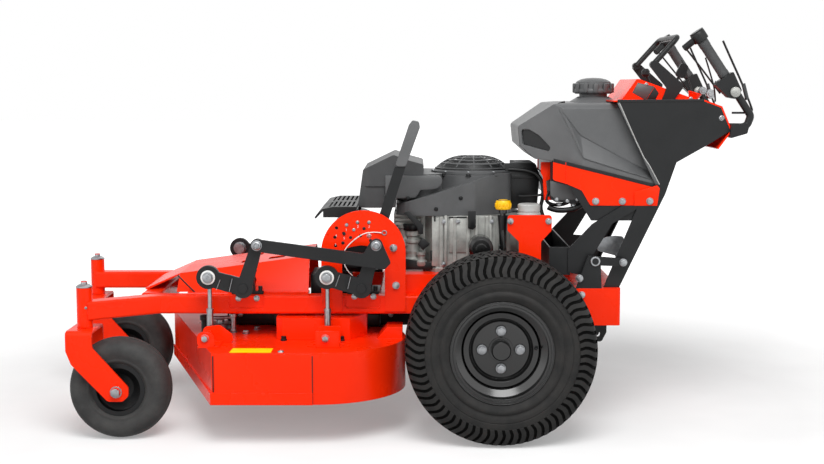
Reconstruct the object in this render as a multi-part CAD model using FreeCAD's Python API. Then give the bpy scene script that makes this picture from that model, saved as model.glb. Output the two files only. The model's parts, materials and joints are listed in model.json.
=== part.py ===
import FreeCAD, Part
import math
import os

# Walk-behind mower with two hydrostatic drive wheels, two front casters and a
# side-discharge deck. Millimetres. -X is the front, -Y the machine's left, +Z up.
# The model is laid out about the drive axle (X = 0, Y = 0, floor at Z = 0).

# ---------------------------------------------------------------- driving sizes
# drive wheels
TYRE_RADIUS = 257.5
TYRE_WIDTH = 203.0
TYRE_BEAD_RING = 155.0
RIM_SEAT_RADIUS = 127.0
RIM_FLANGE_HEIGHT = 11.0
RIM_WALL = 4.0
RIM_HALF = 85.0
RIM_WELL_RADIUS = 110.0
RIM_DISC_RADIUS = 77.0
DISC_OFFSET = 29.0
TRACK_HALF = 385.0
BOLT_CIRCLE_RADIUS = 50.8
WHEEL_BOLT_RADIUS = 11.0
HUB_BORE_RADIUS = 32.0
HUB_CAP_RADIUS = 26.0
SHAFT_RADIUS = 20.0
BEARING_CLEARANCE = 0.05
RUNNING_GAP = 5.0

# wheel motors and their plates
MOTOR_NOSE_RADIUS = 44.0
MOTOR_BODY_RADIUS = 58.0
MOTOR_BODY_LENGTH = 90.0
AXLE_PLATE_HALF = 95.0
AXLE_PLATE_DROP = 135.0
AXLE_PLATE_THICK = 8.0

# caster wheels
CASTER_RADIUS = 139.5
CASTER_WIDTH = 102.0
CASTER_RIM_RADIUS = 63.5
CASTER_LIP = 8.0
CASTER_SEAT_HALF = 38.0
CASTER_WALL = 4.0
CASTER_HUB_RADIUS = 22.0
CASTER_AXLE_RADIUS = 10.0
CASTER_TRAIL = 95.0
CASTER_LEFT_X = -1126.0
CASTER_LEFT_Y = -347.0
CASTER_RIGHT_X = -1230.0
CASTER_TUBE_RADIUS = 21.0
CASTER_TUBE_BOTTOM = 305.0
CASTER_TUBE_TOP = 413.0
CASTER_CAP_HEIGHT = 8.0
FORK_PLATE = 8.0
FORK_GAP = 8.0
FORK_BEND = 14.0
FORK_REAR = 38.0
FORK_FRONT = 33.0
STEM_RADIUS = 12.5

# frame rails
RAIL_CENTRE = 232.0
RAIL_SIZE = 50.8
RAIL_CORNER = 6.0
RAIL_BOTTOM = 325.0
RAIL_REAR_X = 335.0
FLARE_X = -944.0
CROSS_FRONT_X = -975.0
CROSS_MIDDLE_X = -305.0
POCKET_LENGTH = 98.0
POCKET_DEPTH = 5.0

# rear of the frame
REAR_BOX_FRONT_X = 215.0
REAR_BOX_BOTTOM = 294.0
REAR_BOX_TOP = 398.0
PLATE = 6.0
PLATE_CORNER = 8.0
HITCH_PIN_X = 309.0
HITCH_PIN_Z = 228.0
HITCH_PIN_RADIUS = 8.0
HITCH_HALF_WIDTH = 48.0
HITCH_PLATE = 8.0

# deck and blades
DECK_BOTTOM = 119.0
DECK_TOP = 257.0
DECK_WALL = 4.0
CHAMBER_RADIUS = 243.0
SPINDLE_LEFT_X = -499.0
SPINDLE_HALF_Y = 227.0
SPINDLE_STAGGER = 195.0
DECK_CORNER_X = -765.0
DECK_NOSE_X = -982.0
DECK_NOSE_Y = 186.0
DECK_RIGHT_CORNER_X = -880.0
STRIP_HEIGHT = 32.0
STRIP_THICK = 4.0
SIDE_PLATE_THICK = 1.5
BAFFLE_HEIGHT = 75.0
BAFFLE_THICK = 3.0
HANGER_PIN_RISE = 26.0
HANGER_PLATE = 4.0
HANGER_OUTER_Y = 400.0
REAR_FOOT_REACH = 95.0
CHUTE_HINGE_RADIUS = 4.0
CHUTE_FRONT_X = -862.0
CHUTE_REAR_X = -650.0
CHUTE_REACH = 190.0
CHUTE_THICK = 4.0
BLADE_LENGTH = 470.0
BLADE_WIDTH = 64.0
BLADE_THICK = 6.0
BLADE_WING = 14.0
BLADE_Z = 137.0
SPINDLE_RADIUS = 12.5
SPINDLE_FLANGE_RADIUS = 57.0
PULLEY_RADIUS = 54.0
PULLEY_WIDTH = 18.0
COVER_SHEET = 3.0
COVER_FRONT_X = -902.0
COVER_REAR_X = -530.0
COVER_FRONT_Z = 423.0
COVER_REAR_Z = 474.0
COVER_CREASE = 143.0
COVER_FOOT = 200.0
COVER_SLOTS_X = (-735.0, -655.0)
COVER_SLOT = 48.0
BELT_COVER_GAP = 7.0
BELT_COVER_FRONT = 115.0
BELT_COVER_REAR = 134.0
BELT_COVER_REACH = 97.0
BELT_COVER_CUT = 18.0

# deck lift
CRANK_Z = 407.0
CRANK_FRONT_X = -698.3
CRANK_REAR_X = -375.1
CRANK_Y = 315.0
CRANK_PLATE = 16.0
CRANK_HUB_RADIUS = 27.0
CRANK_STEP = 5.0
EYE_RADIUS = 32.0
BUSH_RADIUS = 20.0
PIN_RADIUS = 8.0
PIN_BOSS_RADIUS = 17.0
LINK_GAP = 2.0
LINK_THICK = 10.0
EYE_REACH = 94.0
EYE_RISE = 31.0
TOP_PIN_REACH = 41.0
TOP_PIN_RISE = 120.0
LIFT_SHAFT_RADIUS = 12.5
ROD_RADIUS = 6.0
ROD_HEAD_HALF = 9.0
ROD_SLEEVE_LENGTH = 75.0
LEVER_Y = -241.0
LEVER_THICK = 10.0
LEVER_WIDTH = 30.0
LEVER_TOP_X = -255.0
LEVER_TOP_Z = 735.0
LEVER_GRIP_LENGTH = 127.0
BEARING_HALF_LENGTH = 22.0
BEARING_INSET = 11.0

# height dial
DIAL_X = -372.0
DIAL_Z = 498.0
DIAL_RADIUS = 117.0
DIAL_OPENING_RADIUS = 59.0
DIAL_SHEET = 5.0
DIAL_HOLE_RADIUS = 4.5
DIAL_ROWS = (132.0, 153.0, 174.0)
DIAL_STEP = 10.0
DIAL_FOOT_Z = 333.0

# engine
ENGINE_X = -60.0
ENGINE_PLATE_Z = 430.0
ENGINE_PLATE_FRONT_X = -310.0
ENGINE_PLATE_REAR_X = 205.0
CRANKCASE_TOP = 590.0
CRANKCASE_HALF = 165.0
CASE_RIB = 6.0
CASE_RIB_WIDTH = 10.0
CASE_RIBS_X = (-160, -122, -84, -30, 0)
CASE_FLANGE = 7.0
HEAD_FRONT_X = -290.0
HEAD_REAR_X = -195.0
HEAD_INNER = 20.0
HEAD_OUTER = 118.0
FIN_PITCH = 12.0
FIN_GAP = 5.0
FIN_DEPTH = 12.0
SHROUD_HALF = 172.0
DUCT_HALF = 140.0
SHROUD_TOP = 706.0
SHROUD_LOW_TOP = 661.0
SHROUD_RADIUS = 128.0
SHROUD_SLOPE_X = -148.0
REAR_DUCT_LEFT = 70.0
REAR_DUCT_RIGHT = 60.0
REAR_GROOVE_X = 96.0
GUARD_RADIUS = 122.0
GUARD_RIM = 9.0
GUARD_DOME = 46.0
GUARD_SHEET = 3.0
GUARD_SECTORS = 12
GUARD_RINGS = 5
CLEANER_HALF = 150.0
CLEANER_LEDGE_Z = 672.0
MUFFLER_X = -405.0
MUFFLER_Z = 506.0
MUFFLER_RADIUS = 78.0
MUFFLER_HALF = 165.0
GUARD_HALF = 190.0
LOUVRES = 6
LOUVRE_PITCH = 13.0
LOUVRE_WIDTH = 6.0
LOUVRE_FRONT_X = -474.0
LOUVRE_INNER = 20.0
LOUVRE_OUTER = 170.0
GUARD_Z = 618.0
TRAY_DROP = 30.0
FILTER_RADIUS = 34.0
FILTER_LENGTH = 69.0
FILTER_X = -45.0
FILTER_Z = 505.0
DIPSTICK_X = 18.0
DIPSTICK_Y = -192.0
DIPSTICK_TOP = 612.0
DIPSTICK_CAP = 21.0
RESERVOIR_X = 90.0
RESERVOIR_RADIUS = 31.0
RESERVOIR_BOTTOM = 500.0
RESERVOIR_TOP = 626.0
PUMP_X = 145.0
PUMP_Y = 120.0
PUMP_HALF_LENGTH = 50.0
PUMP_HALF_WIDTH = 60.0
PUMP_BOTTOM = 310.0
CLUTCH_RADIUS = 70.0
CLUTCH_BOTTOM = 340.0

# tower, tank and console
TOWER_SHEET = 4.0
TANK_HALF_WIDTH = 234.0
TANK_NOSE_HALF = 150.0
TANK_NOSE_X = 66.0
TANK_FULL_X = 236.0
TANK_PANEL_HALF = 207.0
TANK_TOP = 909.0
TANK_SHOULDER = 42.0
CAP_X = 286.0
CAP_Y = -40.0
CAP_RADIUS = 54.0
CAP_HEIGHT = 35.0
CAP_LOBES = 12
NECK_RADIUS = 40.0
NECK_HEIGHT = 24.0
SKIRT_SHEET = 3.0
CONSOLE_SHEET = 4.0
TRAY_FRONT_X = 144.0
TRAY_REAR_X = 203.0
TRAY_BOTTOM = 432.0
TRAY_TOP = 510.0
TRAY_SHEET = 4.0
SUMP_HALF = 190.0
FLANGE_WIDTH = 26.0
BRAKE_SHEET = 4.0
REAR_PANEL_Y = -150.0

# handles and controls
HANDLE_OUTSET = 1.0
GRIP_RADIUS = 14.5
GRIP_TOP_X = 552.0
GRIP_TOP_Z = 1083.0
GRIP_FOOT_X = 620.0
GRIP_FOOT_Z = 982.0
GRIP_CAP_RADIUS = 20.0
GRIP_CAP_LENGTH = 25.0
TUBE_RADIUS = 10.5
BAIL_RADIUS = 8.0
BAIL_FOOT = (440.0, 1016.0)
BAIL_TOP = (508.0, 1092.0)
KNOB_X = 449.0
KNOB_Y = 30.0
KNOB_Z = 982.0
SWITCH_Y = -60.0
LID_HALF = 150.0
CONTROL_ARM_SHEET = 5.0

# outlines seen from the side, as (X, Z) points
FORK_LEG = [(33, 259), (128, 152), (128, 128), (112, 113), (72, 113), (-24, 214), (-38, 250)]
TANK_SIDE = [(66, 788), (60, 842), (158, 906), (196, TANK_TOP), (331, TANK_TOP), (404, 757), (417, 744),
             (449, 674), (152, 748), (107, 752)]
TANK_PANEL = [(178, 887), (231, 819), (434, 711)]
TANK_RIDGE = [(166, 893), (236, 757), (442, 693)]
TANK_POCKET = [(70, 834), (94, 834), (124, 818), (176, 768), (74, 792)]
SKIRT_SIDE = [(152, 754), (445, 680), (436, 626), (257, 626), (232, 668), (190, 686), (152, 697)]
CONSOLE_SIDE = [(324, 912), (563, 914), (611, 896), (638, 833), (583, 798), (492, 746), (463, 659),
                (420, 640), (440, 683), (410, 744), (397, 757)]
UPRIGHT_SIDE = [(463, 659), (340, REAR_BOX_TOP), (296, REAR_BOX_TOP), (371, 583), (400, 655)]
DIAGONAL_SIDE = [(345, 626), (262, 575), (196, 505), (196, 440), (232, 432), (318, 576), (400, 626)]
CONSOLE_DECK = [(316, 916), (564, 918), (614, 900), (643, 833), (606, 782), (603, 785), (638, 833),
                (611, 896), (563, 914), (316, 912)]
LID_SIDE = [(345, 907), (393, 975), (400, 975), (591, 907)]
LID_HOLLOW = [(352, 906), (395, 969), (399, 969), (576, 906)]
CLEANER_SIDE = [(-392, 618), (-377, 720), (-290, 762), (-247, 746), (-205, 735), (-205, 684),
                (-315, 684), (-315, 611), (-388, 611)]
BRACKET_T = [(28, 599), (151, 599), (151, 556), (122, 524), (122, 376), (60, 376), (60, 524), (28, 556)]
BRAKE_PLATE = [(216, REAR_BOX_TOP), (250, 490), (284, 486), (288, REAR_BOX_TOP)]
BRAKE_ARM = [(250, 490), (351, 482), (358, 470), (350, 460), (284, 462)]
GRIP_BRACKET = [(592, 958), (628, 924), (650, 920), (664, 944), (640, 994), (604, 982)]
HANDLE_TUBE = [(636, 962), (694, 874), (685, 848), (652, 838)]
HANDLE_BLOCK = [(638, 854), (688, 853), (682, 826), (634, 812)]
UNDER_STRIP = [(434, 640), (421, 584), (260, 584), (224, 640), (206, 664), (206, 684), (240, 664),
               (262, 640)]
SUMP_SIDE = [(152, 760), (238, 760), (238, 634), (226, 628), (164, 632), (152, 640)]
REAR_PANEL = [(312, REAR_BOX_TOP), (344, 444), (342, 475), (290, 489), (290, 516), (313, 528),
              (341, 532), (362, 530), (367, 519), (357, 484), (367, 444), (345, REAR_BOX_TOP)]
CONTROL_ARM = [(428, 1010), (446, 1027), (523, 960), (521, 948), (495, 912), (462, 912), (476, 950)]
PADDLE = [(516, 985), (536, 1024), (556, 1012), (544, 975)]
STIFFENER_SIDE = [(-335, DECK_TOP - 1), (-307, DECK_TOP + 33), (-264, DECK_TOP + 33),
                  (-264, DECK_TOP - 1)]
REAR_DUCT_SIDE = [(29, 602), (124, 602), (131, 700), (118, 736), (29, 736)]
LIP_SIDE = [(-513, 588), (-509, 584), (-488, 606), (-460, GUARD_Z - 6), (-393, GUARD_Z - 6),
            (-393, GUARD_Z), (-462, GUARD_Z), (-493, 611)]

# plans of like sides, as (X, inset from the half width) points on the left, front to rear
CASE_PLAN = [(-200, 45), (-170, 0), (40, 0), (75, 55)]
CASE_FLANGE_PLAN = [(-206, 47), (-172, 0), (42, 0), (81, 57)]
SHROUD_PLAN = [(-283, 52), (-255, 14), (-170, 0), (-60, 20), (48, 80)]
DUCT_PLAN = [(-283, 22), (-190, 0), (-152, 30)]
CLEANER_PLAN = [(-400, 26), (-366, 0), (-200, 0)]

# hanger cheeks seen from the side, as (X from the rod, height over the deck) points
FRONT_NEAR_CHEEK = [(-21, 0), (30, 0), (22, 40), (-21, 46)]
FRONT_FAR_CHEEK = [(-18, 0), (64, 0), (64, 22), (30, 48), (-18, 44)]
REAR_CHEEK = [(-27, 0), (36, 0), (36, 46), (-27, 46)]

V = FreeCAD.Vector
Y_AXIS = V(0, 1, 0)
Z_AXIS = V(0, 0, 1)
HUB_FACE = TRACK_HALF + DISC_OFFSET
TOWER_Y = TANK_HALF_WIDTH + SKIRT_SHEET
HANDLE_Y = TANK_HALF_WIDTH + HANDLE_OUTSET
RIM_LIP = RIM_SEAT_RADIUS + RIM_FLANGE_HEIGHT
RAIL_TOP = RAIL_BOTTOM + RAIL_SIZE
RAIL_OUTER = RAIL_CENTRE + RAIL_SIZE / 2
RAIL_INNER = RAIL_CENTRE - RAIL_SIZE / 2
DECK_HALF = SPINDLE_HALF_Y + CHAMBER_RADIUS
SPINDLE_RIGHT_X = SPINDLE_LEFT_X - SPINDLE_STAGGER
SPINDLES = ((SPINDLE_LEFT_X, -SPINDLE_HALF_Y), (SPINDLE_RIGHT_X, SPINDLE_HALF_Y))
CHUTE_HINGE_Y = DECK_HALF + CHUTE_HINGE_RADIUS + RUNNING_GAP
CHUTE_HINGE_Z = DECK_TOP - 6
HANGER_INNER_Y = CRANK_Y + 3
SHELL_TOP = DECK_TOP - DECK_WALL
parts = {}


# ---------------------------------------------------------------- shape helpers
def box(x0, x1, y0, y1, z0, z1):
    return Part.makeBox(x1 - x0, y1 - y0, z1 - z0, V(x0, y0, z0))


def rod(start, end, radius):
    a, b = V(*start), V(*end)
    return Part.makeCylinder(radius, (b - a).Length, a, b - a)


def disc_y(x, z, radius, y0, y1):
    return Part.makeCylinder(radius, y1 - y0, V(x, y0, z), Y_AXIS)


def disc_z(x, y, radius, z0, z1):
    return Part.makeCylinder(radius, z1 - z0, V(x, y, z0), Z_AXIS)


def line(start, end):
    return Part.LineSegment(start, end).toShape()


def arc(start, middle, end):
    return Part.Arc(start, middle, end).toShape()


def outline(corners, radius):
    """A closed wire whose corners are rounded, as far as their sides allow."""
    edges = []
    previous = None
    opening = None
    for i, corner in enumerate(corners):
        into = corners[i - 1] - corner
        out = corners[(i + 1) % len(corners)] - corner
        half = into.getAngle(out) / 2
        reach = min(radius / math.tan(half), 0.45 * min(into.Length, out.Length))
        bend = reach * math.tan(half)
        into.normalize()
        out.normalize()
        first, last = corner + into * reach, corner + out * reach
        if previous:
            edges.append(line(previous, first))
        else:
            opening = first
        if reach > 0.01:
            middle = corner + (into + out).normalize() * (bend / math.sin(half) - bend)
            edges.append(arc(first, middle, last))
        previous = last
    edges.append(line(previous, opening))
    return Part.Wire(edges)


def plate_y(points, y0, y1, radius=0):
    """A flat plate of XZ outline between two Y planes."""
    return Part.Face(outline([V(x, y0, z) for x, z in points], radius)).extrude(V(0, y1 - y0, 0))


def plate_z(points, z0, z1, radius=0):
    """A flat plate of XY outline between two heights."""
    return Part.Face(outline([V(x, y, z0) for x, y in points], radius)).extrude(V(0, 0, z1 - z0))


def plate_x(points, x0, x1, radius=0):
    """A flat plate of YZ outline between two X planes."""
    return Part.Face(outline([V(x0, y, z) for y, z in points], radius)).extrude(V(x1 - x0, 0, 0))


def turned_y(profile, x, y, z, radius=0):
    """A body turned about an axis along Y from (radius, offset) points."""
    wire = outline([V(r, s, 0) for r, s in profile], radius)
    solid = Part.Face(wire).revolve(V(0, 0, 0), Y_AXIS, 360)
    solid.translate(V(x, y, z))
    return solid


def turned_z(profile, x, y, radius=0):
    """A body turned about an upright axis from (radius, height) points."""
    wire = outline([V(r, 0, h) for r, h in profile], radius)
    solid = Part.Face(wire).revolve(V(0, 0, 0), Z_AXIS, 360)
    solid.translate(V(x, y, 0))
    return solid


def both_sides(corners, half):
    """A closed plan, alike left and right, from the insets of its left corners."""
    left = [(x, inset - half) for x, inset in corners]
    return left + [(x, -y) for x, y in reversed(left)]


def flipped(point):
    return V(point.x, -point.y, point.z)


def turned(edges, x, y, z):
    """A body turned about an axis along Y from the edges of half its section."""
    wire = Part.Wire(Part.__sortEdges__(edges))
    solid = Part.Face(wire).revolve(V(0, 0, 0), Y_AXIS, 360)
    solid.translate(V(x, y, z))
    return solid


def bent_tube(points, radius, bend):
    """A round bar along straight runs joined by tangent arcs."""
    nodes = [V(*p) for p in points]
    edges = []
    start = nodes[0]
    for before, corner, after in zip(nodes, nodes[1:], nodes[2:]):
        into = (before - corner).normalize()
        out = (after - corner).normalize()
        half = into.getAngle(out) / 2
        reach = bend / math.tan(half)
        first = corner + into * reach
        last = corner + out * reach
        middle = corner + (into + out).normalize() * (bend / math.sin(half) - bend)
        edges.append(line(start, first))
        edges.append(arc(first, middle, last))
        start = last
    edges.append(line(start, nodes[-1]))
    ring = Part.Wire(Part.makeCircle(radius, nodes[0], nodes[1] - nodes[0]))
    return Part.Wire(edges).makePipeShell([ring], True, False)


def square_tube(start, end):
    """A length of the frame's square tube, with its rounded corners, between two plan points."""
    half = RAIL_SIZE / 2
    run = V(end[0] - start[0], end[1] - start[1], 0)
    section = [(-half, -half), (half, -half), (half, half), (-half, half)]
    tube = plate_x(section, 0, run.Length, RAIL_CORNER)
    tube.rotate(V(0, 0, 0), Z_AXIS, math.degrees(math.atan2(run.y, run.x)))
    tube.translate(V(start[0], start[1], RAIL_BOTTOM + half))
    return tube


def trimmed(shape, point, normal):
    """The shape without what lies beyond a plane."""
    size = 3000
    beyond = Part.makeBox(size, size, size, V(-size / 2, -size / 2, 0))
    beyond.Placement = FreeCAD.Placement(V(*point), FreeCAD.Rotation(Z_AXIS, V(*normal)))
    return shape.cut(beyond)


def fused(shapes):
    return shapes[0].multiFuse(shapes[1:]).removeSplitter()


def mirrored(shape):
    return shape.mirror(V(0, 0, 0), Y_AXIS)


def group(shapes):
    return Part.makeCompound(shapes)


# ---------------------------------------------------------------- drive wheels
def drive_tyre():
    """A turf tyre's form: round crown, square shoulders, and two rings on each sidewall."""
    half = TYRE_WIDTH / 2
    ring = TYRE_BEAD_RING
    side = half - 9
    shoulder = TYRE_RADIUS - 6
    seat = V(RIM_SEAT_RADIUS, RIM_HALF, 0)
    bead = V(RIM_LIP, RIM_HALF, 0)
    foot = V(RIM_LIP + 4, side, 0)
    ring_in, ring_top, ring_out = V(ring - 8, side + 1, 0), V(ring, side + 5, 0), V(ring + 8, side + 1, 0)
    wall = V(ring + 16, side + 1, 0)
    widest = V(TYRE_RADIUS - 62, half, 0)
    tread_edge = V(shoulder - 26, half - 2, 0)
    crown_edge = V(shoulder, half - 22, 0)
    side_edges = [line(seat, bead), line(bead, foot), line(foot, ring_in),
                  arc(ring_in, ring_top, ring_out), line(ring_out, wall), line(wall, widest),
                  line(widest, tread_edge), arc(tread_edge, V(shoulder - 8, half - 9, 0), crown_edge)]
    crown = arc(crown_edge, V(TYRE_RADIUS, 0, 0), flipped(crown_edge))
    other = [edge.mirror(V(0, 0, 0), Y_AXIS) for edge in side_edges]
    return turned(side_edges + [crown] + other + [line(flipped(seat), seat)], 0, -TRACK_HALF, TYRE_RADIUS)


def drive_rim():
    """A pressed steel wheel: flanged barrel with a drop centre, and a dished disc bolted to the hub."""
    seat, lip, well, half = RIM_SEAT_RADIUS, RIM_LIP, RIM_WELL_RADIUS, RIM_HALF
    wall = RIM_WALL
    face = -DISC_OFFSET
    disc = RIM_DISC_RADIUS
    barrel = turned_y([(seat, -half), (lip, -half), (lip, -half - wall), (seat - wall, -half - wall),
                       (seat - wall, -half + 24), (well - wall, -half + 36), (well - wall, 30),
                       (seat - wall, 42), (seat - wall, half + wall), (lip, half + wall), (lip, half),
                       (seat, half), (seat, 44), (well, 32), (well, -half + 38), (seat, -half + 26)], 0,
                      -TRACK_HALF, TYRE_RADIUS)
    dish = turned_y([(HUB_BORE_RADIUS, face), (disc, face), (disc + 5, face + 6), (disc + 12, face - 8),
                     (well - 12, face - 10), (well - wall, face), (well - wall, face - wall - 4),
                     (well - 10, face - 15), (disc + 9, face - 13), (disc + 4, face),
                     (disc - 2, face - wall), (HUB_BORE_RADIUS, face - wall)], 0, -TRACK_HALF,
                    TYRE_RADIUS)
    hub = turned_y([(0, face - 32), (HUB_CAP_RADIUS - 3, face - 32), (HUB_CAP_RADIUS, face - 29),
                    (HUB_CAP_RADIUS, face - 8), (HUB_BORE_RADIUS + 1, face - 8),
                    (HUB_BORE_RADIUS + 1, face), (disc - 9, face), (disc - 9, face + 14),
                    (34, face + 14), (34, face + 40), (SHAFT_RADIUS, face + 40),
                    (SHAFT_RADIUS, face + 140), (0, face + 140)], 0, -TRACK_HALF, TYRE_RADIUS)
    wheel = [barrel, dish, hub]
    for quarter in range(4):
        angle = math.radians(90 * quarter)
        x = BOLT_CIRCLE_RADIUS * math.sin(angle)
        z = TYRE_RADIUS + BOLT_CIRCLE_RADIUS * math.cos(angle)
        wheel.append(turned_y([(0, face - 17), (8, face - 17), (WHEEL_BOLT_RADIUS, face - wall),
                               (0, face - wall)], x, -TRACK_HALF, z))
    return fused(wheel)


def wheel_motor():
    """The hydraulic motor inside each rear wheel, with its port block; the wheel's shaft turns in it."""
    bore = SHAFT_RADIUS + BEARING_CLEARANCE
    nose_end = -(HUB_FACE - 50)
    body_end = -RAIL_INNER + MOTOR_BODY_LENGTH
    nose = disc_y(0, TYRE_RADIUS, MOTOR_NOSE_RADIUS, nose_end, -RAIL_INNER)
    body = disc_y(0, TYRE_RADIUS, MOTOR_BODY_RADIUS, -RAIL_INNER, body_end)
    cover = disc_y(0, TYRE_RADIUS, MOTOR_BODY_RADIUS - 8, body_end, body_end + 12)
    ports = box(-30, 30, -RAIL_INNER + 20, -RAIL_INNER + 60, TYRE_RADIUS + 40, TYRE_RADIUS + 66)
    hole = disc_y(0, TYRE_RADIUS, bore, nose_end - 1, -(HUB_FACE - 150))
    return fused([nose, body, cover, ports]).cut(hole)


def axle_plate():
    """The plate under the rail that the wheel motor bolts to."""
    half = AXLE_PLATE_HALF
    low = RAIL_BOTTOM - AXLE_PLATE_DROP
    plate = plate_y([(-half, RAIL_BOTTOM + 1), (half, RAIL_BOTTOM + 1), (half, low + 60),
                     (half - 35, low), (35 - half, low), (-half, low + 60)], -RAIL_OUTER,
                    -RAIL_OUTER + AXLE_PLATE_THICK, 6)
    return plate.cut(disc_y(0, TYRE_RADIUS, MOTOR_NOSE_RADIUS, -RAIL_OUTER - 1,
                            -RAIL_OUTER + AXLE_PLATE_THICK + 1))


# ---------------------------------------------------------------- casters
def caster_tyre(x, y):
    half = CASTER_WIDTH / 2
    r = CASTER_RADIUS
    lip = CASTER_RIM_RADIUS + CASTER_LIP
    seat = V(CASTER_RIM_RADIUS, CASTER_SEAT_HALF, 0)
    bead = V(lip, CASTER_SEAT_HALF, 0)
    bulge = V(lip + 3, half - 6, 0)
    edge = V(r * 0.9, half * 0.72, 0)
    side = [line(seat, bead), line(bead, bulge), arc(bulge, V(r * 0.72, half, 0), edge)]
    crown = arc(edge, V(r, 0, 0), flipped(edge))
    other = [piece.mirror(V(0, 0, 0), Y_AXIS) for piece in side]
    return turned(side + [crown] + other + [line(flipped(seat), seat)], x + CASTER_TRAIL, y, r)


def caster_rim(x, y):
    """Two pressed halves that meet in the middle, on a hub that turns on the fork's axle."""
    half = CASTER_WIDTH / 2
    seat = CASTER_RIM_RADIUS
    edge = CASTER_SEAT_HALF
    lip = seat + CASTER_LIP
    wall = CASTER_WALL
    bore = CASTER_AXLE_RADIUS + BEARING_CLEARANCE
    hub = CASTER_HUB_RADIUS
    profile = [(bore, -half), (hub - 4, -half), (hub, -half + 4), (hub, -12), (hub + 14, -10),
               (seat - 16, -16), (seat - wall, -22), (seat - wall, -edge - 3), (lip, -edge - 3),
               (lip, -edge), (seat, -edge), (seat, edge), (lip, edge), (lip, edge + 3),
               (seat - wall, edge + 3), (seat - wall, 22), (seat - 16, 16), (hub + 14, 10), (hub, 12),
               (hub, half - 4), (hub - 4, half), (bore, half)]
    return turned_y(profile, x + CASTER_TRAIL, y, CASTER_RADIUS)


def caster_fork(x, y):
    """A fork folded from one plate: an upturned U whose legs lean back to the axle."""
    inner = CASTER_WIDTH / 2 + FORK_GAP
    outer = inner + FORK_PLATE
    top = CASTER_TUBE_BOTTOM - 1
    axle_x = x + CASTER_TRAIL
    inside_top = top - FORK_PLATE
    shell = plate_x([(y - outer, 0), (y + outer, 0), (y + outer, top), (y - outer, top)], x - 200,
                    x + 200, FORK_BEND)
    hollow = plate_x([(y - inner, -50), (y + inner, -50), (y + inner, inside_top),
                      (y - inner, inside_top)], x - 201, x + 201, FORK_BEND - FORK_PLATE)
    side = [(x - FORK_REAR, top + 9), (x + FORK_FRONT, top + 9)] + [(x + dx, z) for dx, z in FORK_LEG]
    plates = shell.cut(hollow).common(plate_y(side, y - outer - 1, y + outer + 1, 16))
    boss = disc_z(x, y, CASTER_TUBE_RADIUS + 3, inside_top - 6, inside_top)
    axle = disc_y(axle_x, CASTER_RADIUS, CASTER_AXLE_RADIUS, y - outer - 4, y + outer + 4)
    head = disc_y(axle_x, CASTER_RADIUS, CASTER_AXLE_RADIUS + 3, y - outer - 10, y - outer)
    nut = disc_y(axle_x, CASTER_RADIUS, CASTER_AXLE_RADIUS + 3, y + outer, y + outer + 10)
    stem = disc_z(x, y, STEM_RADIUS, top - 2, CASTER_TUBE_TOP + 1)
    tube_top = CASTER_TUBE_TOP + 1
    cap = turned_z([(0, tube_top), (CASTER_TUBE_RADIUS, tube_top), (CASTER_TUBE_RADIUS, tube_top + 3),
                    (CASTER_TUBE_RADIUS - 8, tube_top + CASTER_CAP_HEIGHT),
                    (8, tube_top + CASTER_CAP_HEIGHT), (8, tube_top + CASTER_CAP_HEIGHT + 9),
                    (0, tube_top + CASTER_CAP_HEIGHT + 9)], x, y)
    return fused([plates, boss, axle, head, nut, stem, cap])


def caster_tube(x, y):
    tube = disc_z(x, y, CASTER_TUBE_RADIUS, CASTER_TUBE_BOTTOM, CASTER_TUBE_TOP)
    return tube.cut(disc_z(x, y, STEM_RADIUS + BEARING_CLEARANCE, CASTER_TUBE_BOTTOM - 1,
                           CASTER_TUBE_TOP + 1))


# ---------------------------------------------------------------- frame
def rail_pockets():
    """Shallow recesses in the rail's outer face, below each lift shaft, for the bearings' nuts."""
    pockets = []
    for x in (CRANK_FRONT_X, CRANK_REAR_X):
        half = POCKET_LENGTH / 2
        corners = [(x - half, RAIL_BOTTOM + 16), (x + half, RAIL_BOTTOM + 16), (x + half, RAIL_TOP + 20),
                    (x - half, RAIL_TOP + 20)]
        pockets.append(plate_y(corners, -RAIL_OUTER - 1, -RAIL_OUTER + POCKET_DEPTH, 10))
    return fused(pockets)


def frame_rail_left():
    stem_hole = disc_z(CASTER_LEFT_X, CASTER_LEFT_Y, CASTER_TUBE_RADIUS - 1, 0, CASTER_TUBE_TOP + 1)
    rail = square_tube((FLARE_X, -RAIL_CENTRE), (RAIL_REAR_X, -RAIL_CENTRE)).cut(rail_pockets())
    arm = square_tube((FLARE_X, -RAIL_CENTRE), (CASTER_LEFT_X, CASTER_LEFT_Y)).cut(stem_hole)
    elbow = disc_z(FLARE_X, -RAIL_CENTRE, RAIL_SIZE / 2 - RAIL_CORNER, RAIL_BOTTOM, RAIL_TOP)
    return fused([rail, arm, elbow, caster_tube(CASTER_LEFT_X, CASTER_LEFT_Y), axle_plate()])


def frame_rail_right():
    stem_hole = disc_z(CASTER_RIGHT_X, RAIL_CENTRE, CASTER_TUBE_RADIUS - 1, 0, CASTER_TUBE_TOP + 1)
    rail = square_tube((CASTER_RIGHT_X, RAIL_CENTRE),
                       (RAIL_REAR_X, RAIL_CENTRE)).cut(mirrored(rail_pockets()))
    return fused([rail.cut(stem_hole), caster_tube(CASTER_RIGHT_X, RAIL_CENTRE), mirrored(axle_plate())])


def crossmembers():
    tubes = [square_tube((x, -RAIL_INNER), (x, RAIL_INNER)) for x in (CROSS_FRONT_X, CROSS_MIDDLE_X)]
    return group(tubes)


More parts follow.
